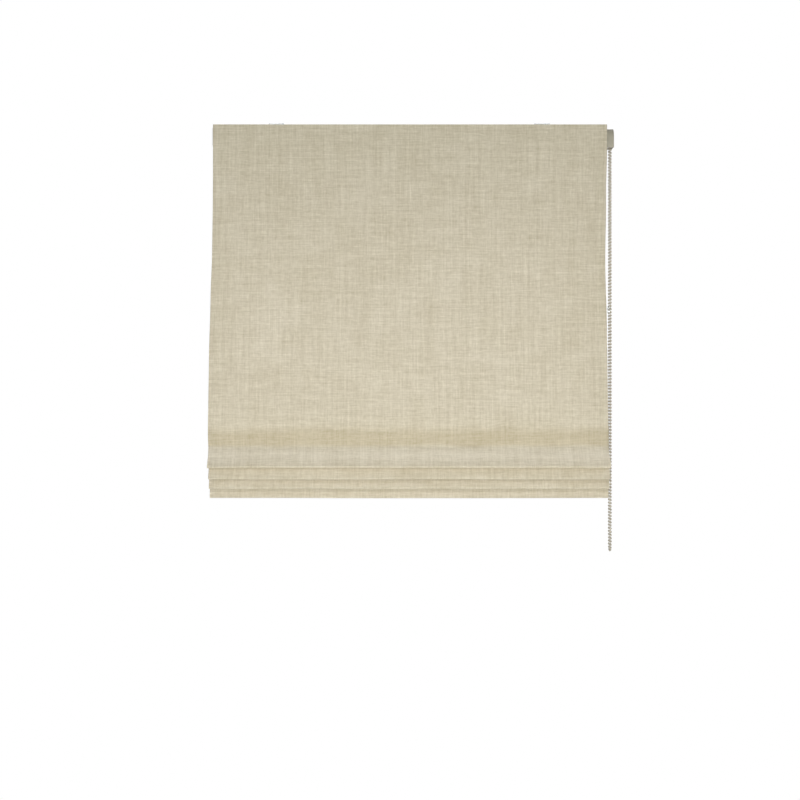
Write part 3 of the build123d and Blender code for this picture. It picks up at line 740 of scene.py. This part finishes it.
pocket_stations = [(-pocket_length / 2, pocket_outer), (pocket_length / 2, pocket_outer)]
first_pocket = turned("sewn_rod_pocket_1", pocket_stations, (0, first_y, first_z), sides=28)
pick(first_pocket)
for face in first_pocket.data.polygons:
    face.select = abs(face.normal.x) > 0.9
bpy.ops.object.mode_set(mode="EDIT")
bpy.ops.mesh.delete(type="ONLY_FACE")
bpy.ops.object.mode_set(mode="OBJECT")
ready("EDGE")
for edge in first_pocket.data.edges:
    a, b = (first_pocket.data.vertices[v].co for v in edge.vertices)
    edge.select = abs(a.x - b.x) > 1 * mm
bpy.ops.object.mode_set(mode="EDIT")
bpy.ops.mesh.subdivide(number_cuts=round(pocket_length / pucker_pitch))
bpy.ops.object.mode_set(mode="OBJECT")
for corner in first_pocket.data.vertices:
    pull = noise.noise(Vector((corner.co.x / mm / pucker_pitch, corner.co.z / mm / 3, 3.1)))
    out = Vector((0, corner.co.y - first_y * mm, corner.co.z - first_z * mm)).normalized()
    corner.co += out * min(pucker_height * pull, pucker_limit) * mm
thicken(first_pocket, pocket_wall)
at_each_rod(first_pocket, "sewn_rod_pocket", "lining_cloth", twill, "rod_pocket")


# Cord rings. Three moulded nylon rings to each pocket, sewn at its back with a few turns of thread, so that a
# lift cord runs down through them.
cord_places = {"left": -290.0, "middle": 0.0, "right": 290.0}
ring_outer, ring_inner = 6.0, 4.0
ring_thickness = 1.8
ring_setback = pocket_outer + seat_gap + ring_outer
thread_turns, thread_pitch = 5, 0.42
thread_radius, thread_loop, thread_seat = 0.16, 1.35, 0.85
thread_fan = radians(7)

# Moulded nylon: milky white, a little light goes into it, with a soft gloss from a polished mould.
cloud_size = 2.5
nylon, tree, shader = new_material("moulded_nylon")
place = add_node(tree, "TexCoord").outputs["Object"]
cloud = add_node(tree, "TexNoise", {"Vector": place, "Scale": 1000 / cloud_size, "Detail": 2.0})
shade(tree, shader, cloud, "E9E7DE", 0.95, 1.02)
shader.inputs["Roughness"].default_value = 0.32
shader.inputs["IOR"].default_value = 1.53
shader.inputs["Subsurface Weight"].default_value = 0.1
shader.inputs["Subsurface Scale"].default_value = 2.0 * mm


def join(pieces, name):
    """Makes several parts of one node a single piece."""
    bpy.ops.object.select_all(action="DESELECT")
    for piece in pieces:
        piece.select_set(True)
    bpy.context.view_layer.objects.active = pieces[0]
    bpy.ops.object.join()
    pieces[0].name = name
    return pieces[0]


bpy.ops.object.select_all(action="DESELECT")
bpy.ops.mesh.primitive_torus_add(
    major_segments=36,
    minor_segments=12,
    major_radius=(ring_outer + ring_inner) / 2 * mm,
    minor_radius=(ring_outer - ring_inner) / 2 * mm,
    location=Vector((0, first_y + ring_setback, first_z)) * mm,
)
ring = bpy.context.object
ring.scale = (1, 1, ring_thickness / (ring_outer - ring_inner))
bpy.ops.object.transform_apply(location=True, rotation=True, scale=True)
parts = [ring]
for turn in range(thread_turns):
    aside = turn - (thread_turns - 1) / 2
    loop_y = first_y + ring_setback - ring_outer + thread_seat
    bpy.ops.object.select_all(action="DESELECT")
    bpy.ops.mesh.primitive_torus_add(
        major_segments=14,
        minor_segments=5,
        major_radius=thread_loop * mm,
        minor_radius=thread_radius * mm,
        location=Vector((aside * thread_pitch, loop_y, first_z)) * mm,
        rotation=(0, pi / 2, aside * thread_fan),
    )
    bpy.ops.object.transform_apply(location=True, rotation=True, scale=True)
    parts.append(bpy.context.object)
sewn_ring = join(parts, "sewn_ring")
bpy.ops.object.shade_smooth()
side_rings = [again(sewn_ring, "sewn_ring", (cord_places[end], 0, 0)) for end in ("left", "right")]
first_row = join([sewn_ring] + side_rings, "sewn_cord_rings_1")
at_each_rod(first_row, "sewn_cord_rings", "ring_plastic", nylon, "cord_rings")


# Lift cords. Three braided polyester cords, 1.4 mm thick. Each winds on its spool, leaves by the nose of the
# cradle and runs down through its rings to the drop shaped weight that it is knotted in, under the last ring.
axis_y, axis_z = -0.1, -25.0
drum_radius = 7.3
cord_radius = 0.7
winding_radius = drum_radius + cord_radius
rail_front, rail_back, rail_top, rail_bottom = -19.1, 18.9, -8.9, -40.9
cord_slack = 2.6
wound_length, wound_pitch = 14.0, 1.5

# Braided polyester: off white strands that cross every few millimetres, with a dull silky light on them.
# The bands of a wave are 200 pi millimetres apart along each axis where its scale is 1.
strand_step = 1.267
braid, tree, shader = new_material("braided_polyester_cord")
place = add_node(tree, "TexCoord").outputs["Object"]
strands = 0.0
for turn in ((0.6, 0.6, 0.0), (-0.6, -0.6, 1.57)):
    spread = add_node(tree, "Mapping", {"Vector": place, "Rotation": turn})
    banding = {"Vector": spread, "Scale": 200 * pi / strand_step, "Distortion": 0.6}
    wave = add_node(tree, "TexWave", banding, bands_direction="DIAGONAL")
    strands = add_node(tree, "Math", {0: strands, 1: wave.outputs["Fac"]}, operation="MAXIMUM")
tone = add_node(tree, "Math", {0: strands, 1: 0.16, 2: 0.86}, operation="MULTIPLY_ADD")
tint(tree, shader, "E6E2D6", tone)
shader.inputs["Roughness"].default_value = 0.6
shader.inputs["Sheen Weight"].default_value = 0.1
relief = add_node(tree, "Bump", {"Height": strands, "Distance": 0.2 * mm, "Strength": 0.6})
tree.links.new(relief.outputs[0], shader.inputs["Normal"])

# Where a cord hangs, from the front of its spool to the lowest ring
cord_route = [(axis_y - winding_radius, axis_z), (axis_y - winding_radius, rail_bottom - 1.0)]
for k, (y, z) in enumerate(rod_seats[2:]):
    cord_route.append((y + ring_setback + cord_slack * (1 - 2 * k / (gathered_count - 1)), z))
end_y, end_z = cord_route[-1]
cord_route.append((end_y, end_z - ring_thickness - 0.6))

cord_curve = bpy.data.curves.new("hung_lift_cord", "CURVE")
cord_curve.dimensions = "3D"
cord_curve.bevel_depth = cord_radius * mm
cord_curve.bevel_resolution = 3
cord_curve.resolution_u = 10
cord_curve.use_fill_caps = True
spline = cord_curve.splines.new("NURBS")
spline.points.add(len(cord_route) - 1)
for point, (y, z) in zip(spline.points, cord_route):
    point.co = (0, y * mm, z * mm, 1)
spline.order_u = 3
spline.use_endpoint_u = True
middle_cord = bpy.data.objects.new("hung_lift_cord_middle", cord_curve)
bpy.context.scene.collection.objects.link(middle_cord)
pick(middle_cord)
bpy.ops.object.convert(target="MESH")
bpy.ops.object.shade_smooth()

bpy.ops.object.select_all(action="DESELECT")
bpy.ops.mesh.primitive_circle_add(
    vertices=8, radius=cord_radius * mm, location=(-wound_length / 2 * mm, 0, 0), rotation=(pi / 2, 0, 0)
)
middle_turns = bpy.context.object
middle_turns.name = "wound_cord_middle"
bpy.ops.object.transform_apply(location=True, rotation=True, scale=True)
bpy.ops.object.mode_set(mode="EDIT")
bpy.ops.mesh.select_all(action="SELECT")
bpy.ops.transform.translate(value=(0, 0, winding_radius * mm))
bpy.ops.object.mode_set(mode="OBJECT")
coil = middle_turns.modifiers.new("coil", "SCREW")
coil.axis = "X"
coil.screw_offset = wound_pitch * mm
coil.iterations = round(wound_length / wound_pitch)
coil.steps = 28
coil.render_steps = 28
coil.use_normal_calculate = True
bpy.ops.object.modifier_apply(modifier="coil")
middle_turns.location = Vector((0, axis_y, axis_z)) * mm
bpy.ops.object.transform_apply(location=True)
bpy.ops.object.mode_set(mode="EDIT")
bpy.ops.mesh.select_mode(type="EDGE")
bpy.ops.mesh.select_all(action="DESELECT")
bpy.ops.mesh.select_non_manifold()
bpy.ops.mesh.fill_holes(sides=12)
bpy.ops.mesh.select_all(action="SELECT")
bpy.ops.mesh.normals_make_consistent(inside=False)
bpy.ops.object.mode_set(mode="OBJECT")
bpy.ops.object.shade_smooth_by_angle(angle=radians(60))

# The weight: a nylon drop, 14 mm long, narrow where the cord goes in and round below its middle
drop_shape = [
    (0.0, 1.4), (-1.6, 1.7), (-4.2, 2.35), (-7.0, 3.0),
    (-8.8, 3.2), (-10.8, 2.95), (-12.6, 2.1), (-13.7, 1.0),
]
drop_place = (0, end_y, end_z - ring_thickness - seat_gap)
middle_drop = turned("cord_drop_middle", drop_shape, drop_place, sides=24, turn=(0, 0, 0))
pick(middle_drop)
bpy.ops.object.shade_smooth_by_angle(angle=radians(50))


def for_cord(middle, end):
    """The piece that serves one of the three cords: the middle one itself, or a copy of it."""
    if end == "middle":
        return middle
    return again(middle, middle.name.replace("middle", end), (cord_places[end], 0, 0))


for end in cord_places:
    cord = for_cord(middle_cord, end)
    turns = for_cord(middle_turns, end)
    weight = for_cord(middle_drop, end)
    cord.data.materials.clear()
    cord.data.materials.append(braid)
    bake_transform(cord, "headrail", "hem_bar", start=blend_top, end=blend_foot)
    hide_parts(f"lift_cord_{end}")
    settle(turns, "drive", "cord", braid)
    settle(weight, "rod_6", "ring_plastic", nylon, f"cord_adjuster_{end}")


# Bottom bar. A flat extruded aluminium bar in the fold of the hem, sawn to length, with a moulded shoe on
# each end so that it can't wear through the cloth.
def dress(finish, *names):
    """Gives CAD nodes that keep their own shape the material of the real piece."""
    for name in names:
        for held in nodes[name].material_slots:
            held.material = finish


# Extruded aluminium: dull silver with faint die lines along its length, which catch the light one by one.
line_length, line_width = 333.3, 0.714
extruded, tree, shader = new_material("extruded_anodised_aluminium")
place = add_node(tree, "TexCoord").outputs["Object"]
size = (1000 / line_length, 1000 / line_width, 1000 / line_width)
spread = add_node(tree, "Mapping", {"Vector": place, "Scale": size})
lines = add_node(tree, "TexNoise", {"Vector": spread, "Scale": 1.0, "Detail": 3.0})
shade(tree, shader, lines, "CBCCCC", 0.93, 1.03)
shader.inputs["Metallic"].default_value = 1.0
dullness = {"Value": lines, "From Min": 0.3, "From Max": 0.7, "To Min": 0.34, "To Max": 0.46}
tree.links.new(add_node(tree, "MapRange", dullness).outputs[0], shader.inputs["Roughness"])
relief = add_node(tree, "Bump", {"Height": lines, "Distance": 0.03 * mm, "Strength": 0.5})
tree.links.new(relief.outputs[0], shader.inputs["Normal"])

pit_pitch, haze_size = 0.303, 11.1


def moulded_abs(name, code, tones, dullness):
    """ABS from a spark eroded mould: half matt, with a grain of 0.3 mm from pit to pit and a faint haze."""
    made, tree, shader = new_material(name)
    place = add_node(tree, "TexCoord").outputs["Object"]
    pits = add_node(tree, "TexVoronoi", {"Vector": place, "Scale": 1000 / pit_pitch}, feature="SMOOTH_F1")
    haze = add_node(tree, "TexNoise", {"Vector": place, "Scale": 1000 / haze_size, "Detail": 3.0})
    shade(tree, shader, haze, code, *tones)
    low, high = dullness
    follows = {"Value": haze, "From Min": 0.3, "From Max": 0.7, "To Min": low, "To Max": high}
    tree.links.new(add_node(tree, "MapRange", follows).outputs[0], shader.inputs["Roughness"])
    shader.inputs["IOR"].default_value = 1.54
    relief = add_node(tree, "Bump", {"Height": pits, "Distance": 0.03 * mm, "Strength": 0.4})
    tree.links.new(relief.outputs[0], shader.inputs["Normal"])
    return made


# Moulded ABS in a warm white, for the shoes, the end cap, the levers, the spools and their cradles
abs_white = moulded_abs("moulded_white_abs", "E4E2DC", (0.97, 1.01), (0.42, 0.52))

dress(extruded, "bottom_bar")
dress(abs_white, "bottom_bar_caps")


# Tapes. A hook tape is glued along the front of the headrail, and its loop tape is sewn behind the top of the
# cloth, so that the cloth peels off for cleaning. Both are woven nylon, 20 mm wide.

# Nylon hook tape: rows of stiff little hooks that shade the ground between them
hook_pitch = 1.6
hooks, tree, shader = new_material("nylon_hook_tape")
place = add_node(tree, "TexCoord").outputs["Object"]
nubs = add_node(tree, "TexVoronoi", {"Vector": place, "Scale": 1000 / hook_pitch, "Randomness": 0.25})
tone = add_node(tree, "MapRange", {"Value": nubs, "From Max": 0.6, "To Min": 1.05, "To Max": 0.82})
tint(tree, shader, "DEDCD5", tone)
shader.inputs["Roughness"].default_value = 0.6
relief = add_node(tree, "Bump", {"Height": nubs, "Distance": -0.6 * mm, "Strength": 0.8})
tree.links.new(relief.outputs[0], shader.inputs["Normal"])

# Brushed loop tape: a matt nap of nylon loops, broken up every millimetre or so
nap_size = 1.11
loops, tree, shader = new_material("brushed_loop_tape")
place = add_node(tree, "TexCoord").outputs["Object"]
nap = {"Vector": place, "Scale": 1000 / nap_size, "Detail": 6.0, "Roughness": 0.7}
fuzz = add_node(tree, "TexNoise", nap)
tone = add_node(tree, "Math", {0: fuzz, 1: 0.3, 2: 0.83}, operation="MULTIPLY_ADD")
tint(tree, shader, "DDDAD2", tone)
shader.inputs["Roughness"].default_value = 0.95
shader.inputs["Sheen Weight"].default_value = 0.3
relief = add_node(tree, "Bump", {"Height": fuzz, "Distance": 0.8 * mm, "Strength": 0.7})
tree.links.new(relief.outputs[0], shader.inputs["Normal"])

dress(hooks, "hook_tape")
dress(loops, "loop_tape")


# Headrail. An extruded aluminium channel, anodised satin and open below, with a rib along each side of its
# top for the brackets. Its left end is closed by a moulded cap, pushed in by a hollow plug.
rail_left, rail_right = -366.0, 364.0
rail_wall = 1.4
plug_gap = 0.2
plug_wall = 1.5
cap_thickness, cap_round, cap_plug = 4.0, 3.0, 12.0
cap_rim, cap_slope, cap_dish = 3.5, 0.5, 0.4


def block(name, low, high):
    """A cube drawn out between two corners, in millimetres, as a start for a moulded shape or as a cutter."""
    bpy.ops.object.select_all(action="DESELECT")
    middle = (Vector(low) + Vector(high)) / 2 * mm
    bpy.ops.mesh.primitive_cube_add(size=1, location=middle, scale=(Vector(high) - Vector(low)) * mm)
    bpy.ops.object.transform_apply(location=True, rotation=True, scale=True)
    bpy.context.object.name = name
    return bpy.context.object


def work(piece, tool, operation="DIFFERENCE"):
    """Cuts a tool's shape out of a piece, or welds it on, and takes the tool away."""
    pick(piece)
    step = piece.modifiers.new("work", "BOOLEAN")
    step.operation = operation
    step.solver = "EXACT"
    step.object = tool
    bpy.ops.object.modifier_apply(modifier="work")
    bpy.data.objects.remove(tool)


def plug(left, right):
    """The hollow plug that fits the end of the channel."""
    inset = rail_wall + plug_gap
    low = Vector((left, rail_front + inset, rail_bottom + inset))
    high = Vector((right, rail_back - inset, rail_top - inset))
    ring_wall = block("plug", low, high)
    hollow = Vector((0, plug_wall - plug_gap * 0.5, plug_wall - plug_gap * 0.5))
    work(ring_wall, block("hollow", low + hollow - Vector((1, 0, 0)), high - hollow + Vector((1, 0, 0))))
    return ring_wall


dress(extruded, "headrail")
low, high = (rail_left - cap_thickness, rail_front, rail_bottom), (rail_left, rail_back, rail_top)
cap = block("moulded_end_cap", low, high)
ready("EDGE")
for edge in cap.data.edges:
    ends = [cap.data.vertices[v].co for v in edge.vertices]
    edge.select = abs(ends[0].x - ends[1].x) > 1 * mm and max(e.z for e in ends) < (rail_bottom + 1) * mm
bpy.ops.object.mode_set(mode="EDIT")
bpy.ops.mesh.bevel(offset=cap_round * mm, segments=6)
bpy.ops.object.mode_set(mode="OBJECT")
for face in cap.data.polygons:
    face.select = face.normal.x < -0.9
bpy.ops.object.mode_set(mode="EDIT")
bpy.ops.mesh.select_mode(type="FACE")
bpy.ops.mesh.inset(thickness=cap_rim * mm)
bpy.ops.mesh.inset(thickness=cap_slope * mm, depth=-cap_dish * mm)
bpy.ops.object.mode_set(mode="OBJECT")
work(cap, plug(rail_left - 0.5, rail_left + cap_plug), "UNION")
soften(cap, 0.35)
settle(cap, "headrail", "white_moulding", abs_white, "end_cap")


# Brackets. Two pressed steel plates with a hook for the front rib and a pin behind, each with a moulded lever
# that turns on its pin, so that its tongue locks the rear rib. Two screws hold each plate to the ceiling.
bracket_places = [-250.0, 250.0]
lever_y = 22.0
lever_low, lever_high = -8.4, -6.8
lever_round, lever_width = 4.5, 5.0
lever_tongue, lever_handle = 7.39, 14.0
lever_bore = 2.05
knob_radius = 3.6
groove_pitch, groove_width, groove_length, groove_depth = 1.6, 0.6, 4.4, 0.3

# Zinc plated steel: bright, slightly blue, with cloudy patches from the bath that are duller or glossier.
patch_size = 6.25
zinc, tree, shader = new_material("zinc_plated_steel")
place = add_node(tree, "TexCoord").outputs["Object"]
cloud = add_node(tree, "TexNoise", {"Vector": place, "Scale": 1000 / patch_size, "Detail": 4.0})
patches = add_node(tree, "ValToRGB", {0: cloud})
patches.color_ramp.elements[0].position, patches.color_ramp.elements[1].position = 0.35, 0.7
patches.color_ramp.elements[0].color = hex_colour("B2B6BA")
patches.color_ramp.elements[1].color = hex_colour("CFD0CF")
tree.links.new(patches.outputs[0], shader.inputs["Base Color"])
shader.inputs["Metallic"].default_value = 1.0
dullness = {"Value": cloud, "From Min": 0.3, "From Max": 0.7, "To Min": 0.24, "To Max": 0.42}
tree.links.new(add_node(tree, "MapRange", dullness).outputs[0], shader.inputs["Roughness"])
dress(zinc, "bracket_left", "bracket_right")

left_x = bracket_places[0]
tall = lever_high - lever_low
pin_place = (left_x, lever_y, lever_low)
knob_place = (left_x, lever_y + lever_handle, lever_low)
left_stations = [(0, lever_round), (tall, lever_round)]
left_lever = turned("moulded_lever_left", left_stations, pin_place, turn=(0, 0, 0))
knob = turned("knob", [(0, knob_radius), (tall, knob_radius)], knob_place, turn=(0, 0, 0))
half = lever_width / 2
low = (left_x - half, lever_y - lever_tongue, lever_low)
high = (left_x + half, lever_y + lever_handle, lever_high)
work(left_lever, block("arm", low, high), "UNION")
work(left_lever, knob, "UNION")
bore = turned("bore", [(-1, lever_bore), (tall + 1, lever_bore)], pin_place, turn=(0, 0, 0))
work(left_lever, bore)
half, wide = groove_width / 2, groove_length / 2
for groove in range(3):
    y = lever_y + lever_handle + groove_pitch * (groove - 1)
    low = (left_x - wide, y - half, lever_low - 1)
    high = (left_x + wide, y + half, lever_low + groove_depth)
    work(left_lever, block("groove", low, high))
soften(left_lever, 0.18)
right_lever = again(left_lever, "moulded_lever_right", (bracket_places[1] - left_x, 0, 0))
settle(left_lever, "lever_left", "white_moulding", abs_white, "bracket_lever_left")
settle(right_lever, "lever_right", "white_moulding", abs_white, "bracket_lever_right")


# Spools. Three moulded drums on the drive shaft, one to each lift cord, square bored, with a flange that
# keeps the turns from running off. Their journals turn in cradles that drop on the channel's lips.
shaft_bore = 5.2
spool_stations = [
    (-20.9, 4.2), (-20.6, 4.5), (-16.5, 4.5), (-16.5, 8.3), (-15.9, 8.3),
    (-14.6, 7.3), (14.6, 7.3), (15.0, 8.2), (15.0, 10.6), (15.35, 11.0),
    (16.15, 11.0), (16.5, 10.6), (16.5, 4.5), (20.6, 4.5), (20.9, 4.2),
]
middle_spool = turned("turned_spool_middle", spool_stations, (0, axis_y, axis_z), sides=48)
half = shaft_bore / 2
low, high = (-30, axis_y - half, axis_z - half), (30, axis_y + half, axis_z + half)
work(middle_spool, block("bore", low, high))
pick(middle_spool)
bpy.ops.object.shade_smooth_by_angle(angle=radians(30))
for end in cord_places:
    settle(for_cord(middle_spool, end), "drive", "white_moulding", abs_white, f"cord_spool_{end}")
    dress(abs_white, f"spool_cradle_{end}")


# Drive. A square aluminium shaft joins the spools to the clutch hub and the chain wheel. A flat wire spring,
# wound closely round the hub, grips it whenever the chain isn't pulled.

# Moulded acetal: a pale grey, slippery and half glossy, with faint marks where it flowed into the mould.
flow_size = 8.33
acetal, tree, shader = new_material("moulded_grey_acetal")
place = add_node(tree, "TexCoord").outputs["Object"]
flow = add_node(tree, "TexNoise", {"Vector": place, "Scale": 1000 / flow_size, "Detail": 3.0})
shade(tree, shader, flow, "B3B1AC", 0.94, 1.04)
shader.inputs["Roughness"].default_value = 0.38
shader.inputs["IOR"].default_value = 1.48
dress(extruded, "drive_shaft")
dress(acetal, "chain_wheel", "clutch_hub")
dress(zinc, "wrap_spring")


# Control housing. A moulded body plugged in the right end of the channel, with a round chamber for the wheel
# that is open below, where the two runs of the chain hang out, and a cover pressed on over it.
chain_plane = 379.5
chamber_left, chamber_right, cover_right = 375.3, 383.7, 385.2
chamber_radius, housing_radius = 15.0, 16.5
housing_flange_right, housing_plug = 367.0, 14.0
cover_rim, cover_slope, cover_dish = 4.0, 0.4, 0.3
skirt_bottom = -44.9
hub_bore, spring_room = 6.06, 6.98

# The same ABS in a warm grey, darker than the white mouldings; part of its darkness is painted shade
abs_grey = moulded_abs("moulded_linen_grey_abs", "A8A391", (0.96, 1.02), (0.48, 0.48))


def horseshoe(name, radius, left, right, foot):
    """A round top on straight sides that run down to the mouth of the chain."""
    made = turned(name, [(left, radius), (right, radius)], (0, axis_y, axis_z), sides=64)
    bpy.ops.object.mode_set(mode="EDIT")
    bpy.ops.mesh.select_all(action="SELECT")
    bpy.ops.mesh.bisect(plane_co=(0, 0, axis_z * mm), plane_no=(0, 0, 1), use_fill=True, clear_inner=True)
    bpy.ops.object.mode_set(mode="OBJECT")
    for face in made.data.polygons:
        face.select = face.normal.z < -0.99
    bpy.ops.object.mode_set(mode="EDIT")
    bpy.ops.mesh.select_mode(type="FACE")
    bpy.ops.mesh.extrude_region_move(TRANSFORM_OT_translate={"value": (0, 0, (foot - axis_z) * mm)})
    bpy.ops.mesh.select_all(action="SELECT")
    bpy.ops.mesh.normals_make_consistent(inside=False)
    bpy.ops.object.mode_set(mode="OBJECT")
    return made


housing = horseshoe("moulded_control_housing", housing_radius, rail_right, chamber_right, skirt_bottom)
flange = block("flange", (rail_right, rail_front, rail_bottom), (housing_flange_right, rail_back, rail_top))
work(housing, flange, "UNION")
work(housing, plug(rail_right - housing_plug, rail_right + 0.5), "UNION")
work(housing, horseshoe("chamber", chamber_radius, chamber_left, chamber_right + 1, skirt_bottom - 1))
bore_stations = [(rail_right - 1, spring_room), (rail_right + 1, spring_room), (rail_right + 1, hub_bore)]
bore_stations.append((chamber_left + 1, hub_bore))
work(housing, turned("bore", bore_stations, (0, axis_y, axis_z)))
soften(housing, 0.4)
settle(housing, "headrail", "white_moulding", abs_grey, "control_housing")

cover = horseshoe("moulded_control_cover", housing_radius, chamber_right, cover_right, skirt_bottom)
for face in cover.data.polygons:
    face.select = face.normal.x > 0.9
bpy.ops.object.mode_set(mode="EDIT")
bpy.ops.mesh.inset(thickness=cover_rim * mm)
bpy.ops.mesh.inset(thickness=cover_slope * mm, depth=-cover_dish * mm)
bpy.ops.object.mode_set(mode="OBJECT")
soften(cover, 0.5, 3)
settle(cover, "headrail", "white_moulding", abs_grey, "control_cover")


# Bead chain. A closed loop of 268 moulded beads, 4.5 mm on a pitch of 6 mm, each sunk at the eyes where the
# braided core enters. It runs over the wheel's notches. At the back a clear clip, snapped over two beads,
# joins its ends.
chain_pitch = 6.0
bead_radius = 2.25
bead_eye = 0.8
core_radius = 0.6
wheel_pockets = 12
run_beads = 128
pitch_radius = chain_pitch / (2 * sin(pi / wheel_pockets))

# Moulded polyester beads: pale and glossy, with faint swirls of their own from the mould. Their greige is
# partly painted shade, darker than the beads themselves.
swirl_size = 3.85
beads, tree, shader = new_material("moulded_polyester_beads")
place = add_node(tree, "TexCoord").outputs["Object"]
swirl = add_node(tree, "TexNoise", {"Vector": place, "Scale": 1000 / swirl_size, "Detail": 2.0})
shade(tree, shader, swirl, "B2AA97", 0.9, 1.08)
shader.inputs["Roughness"].default_value = 0.22
shader.inputs["IOR"].default_value = 1.55
shader.inputs["Coat Weight"].default_value = 0.2

bpy.ops.object.select_all(action="DESELECT")
start = Vector((chain_plane, axis_y - pitch_radius, axis_z)) * mm
bpy.ops.mesh.primitive_uv_sphere_add(segments=9, ring_count=6, radius=bead_radius * mm, location=start)
bpy.ops.object.transform_apply(location=True, rotation=True, scale=True)
bead = bpy.context.object
for corner in bead.data.vertices:
    off_middle = corner.co.z / mm - axis_z
    if abs(off_middle) > 0.99 * bead_radius:
        corner.co.z = (axis_z + bead_eye * off_middle) * mm
bpy.ops.object.shade_smooth()
strung = []
half_turn = wheel_pockets // 2
for k in range(half_turn):
    for angle, base in ((pi * k / half_turn, 0.0), (pi + pi * k / half_turn, -run_beads * chain_pitch)):
        shift = (0, pitch_radius * (1 + cos(angle)), base + pitch_radius * sin(angle))
        strung.append(again(bead, "bead", shift))
for shift, way in (((0, 0, 0), -1), ((0, 2 * pitch_radius, -run_beads * chain_pitch), 1)):
    run = again(bead, "bead_run", shift)
    row = run.modifiers.new("row", "ARRAY")
    row.count = run_beads
    row.use_relative_offset = False
    row.use_constant_offset = True
    row.constant_offset_displace = (0, 0, way * chain_pitch * mm)
    bpy.ops.object.modifier_apply(modifier="row")
    strung.append(run)
bpy.data.objects.remove(bead)
bpy.ops.object.select_all(action="DESELECT")
bpy.ops.mesh.primitive_torus_add(
    major_segments=48,
    minor_segments=6,
    major_radius=pitch_radius * mm,
    minor_radius=core_radius * mm,
    location=Vector((chain_plane, axis_y, axis_z)) * mm,
    rotation=(0, pi / 2, 0),
)
core = bpy.context.object
bpy.ops.object.transform_apply(location=True, rotation=True, scale=True)
ready("VERT")
for corner in core.data.vertices:
    corner.select = corner.co.z < (axis_z - core_radius - seat_gap) * mm
bpy.ops.object.mode_set(mode="EDIT")
bpy.ops.transform.translate(value=(0, 0, -run_beads * chain_pitch * mm))
bpy.ops.object.mode_set(mode="OBJECT")
bpy.ops.object.shade_smooth()
chain = join(strung + [core], "strung_bead_chain")
settle(chain, "headrail", "bead_plastic", beads, "bead_chain")

# Clear polycarbonate: like glass, with a soft haze inside.
mist_size = 2.0
clear, tree, shader = new_material("clear_polycarbonate")
place = add_node(tree, "TexCoord").outputs["Object"]
haze = add_node(tree, "TexNoise", {"Vector": place, "Scale": 1000 / mist_size, "Detail": 2.0})
dullness = {"Value": haze, "From Min": 0.3, "From Max": 0.7, "To Min": 0.04, "To Max": 0.14}
tree.links.new(add_node(tree, "MapRange", dullness).outputs[0], shader.inputs["Roughness"])
shader.inputs["Base Color"].default_value = hex_colour("EEF0EE")
shader.inputs["Transmission Weight"].default_value = 0.9
shader.inputs["IOR"].default_value = 1.58

connector_length, connector_wall, connector_slot, slot_reach = 13.0, 1.0, 1.6, 6.0
connector_y = axis_y + pitch_radius
connector_z = axis_z - run_beads // 2 * chain_pitch + 10 * chain_pitch
bore_radius = bead_radius + seat_gap
half = connector_length / 2
clip_place = (chain_plane, connector_y, connector_z)
clip_stations = [(-half, bore_radius + connector_wall), (half, bore_radius + connector_wall)]
clip = turned("clear_chain_clip", clip_stations, clip_place, sides=28, turn=(0, 0, 0))
bore_stations = [(-half - 1, bore_radius), (half + 1, bore_radius)]
work(clip, turned("bore", bore_stations, clip_place, sides=28, turn=(0, 0, 0)))
low = (chain_plane - connector_slot / 2, connector_y, connector_z - half - 1)
high = (chain_plane + connector_slot / 2, connector_y + slot_reach, connector_z + half + 1)
work(clip, block("slot", low, high))
soften(clip, 0.2)
settle(clip, "headrail", "clear_plastic", clear, "chain_connector")
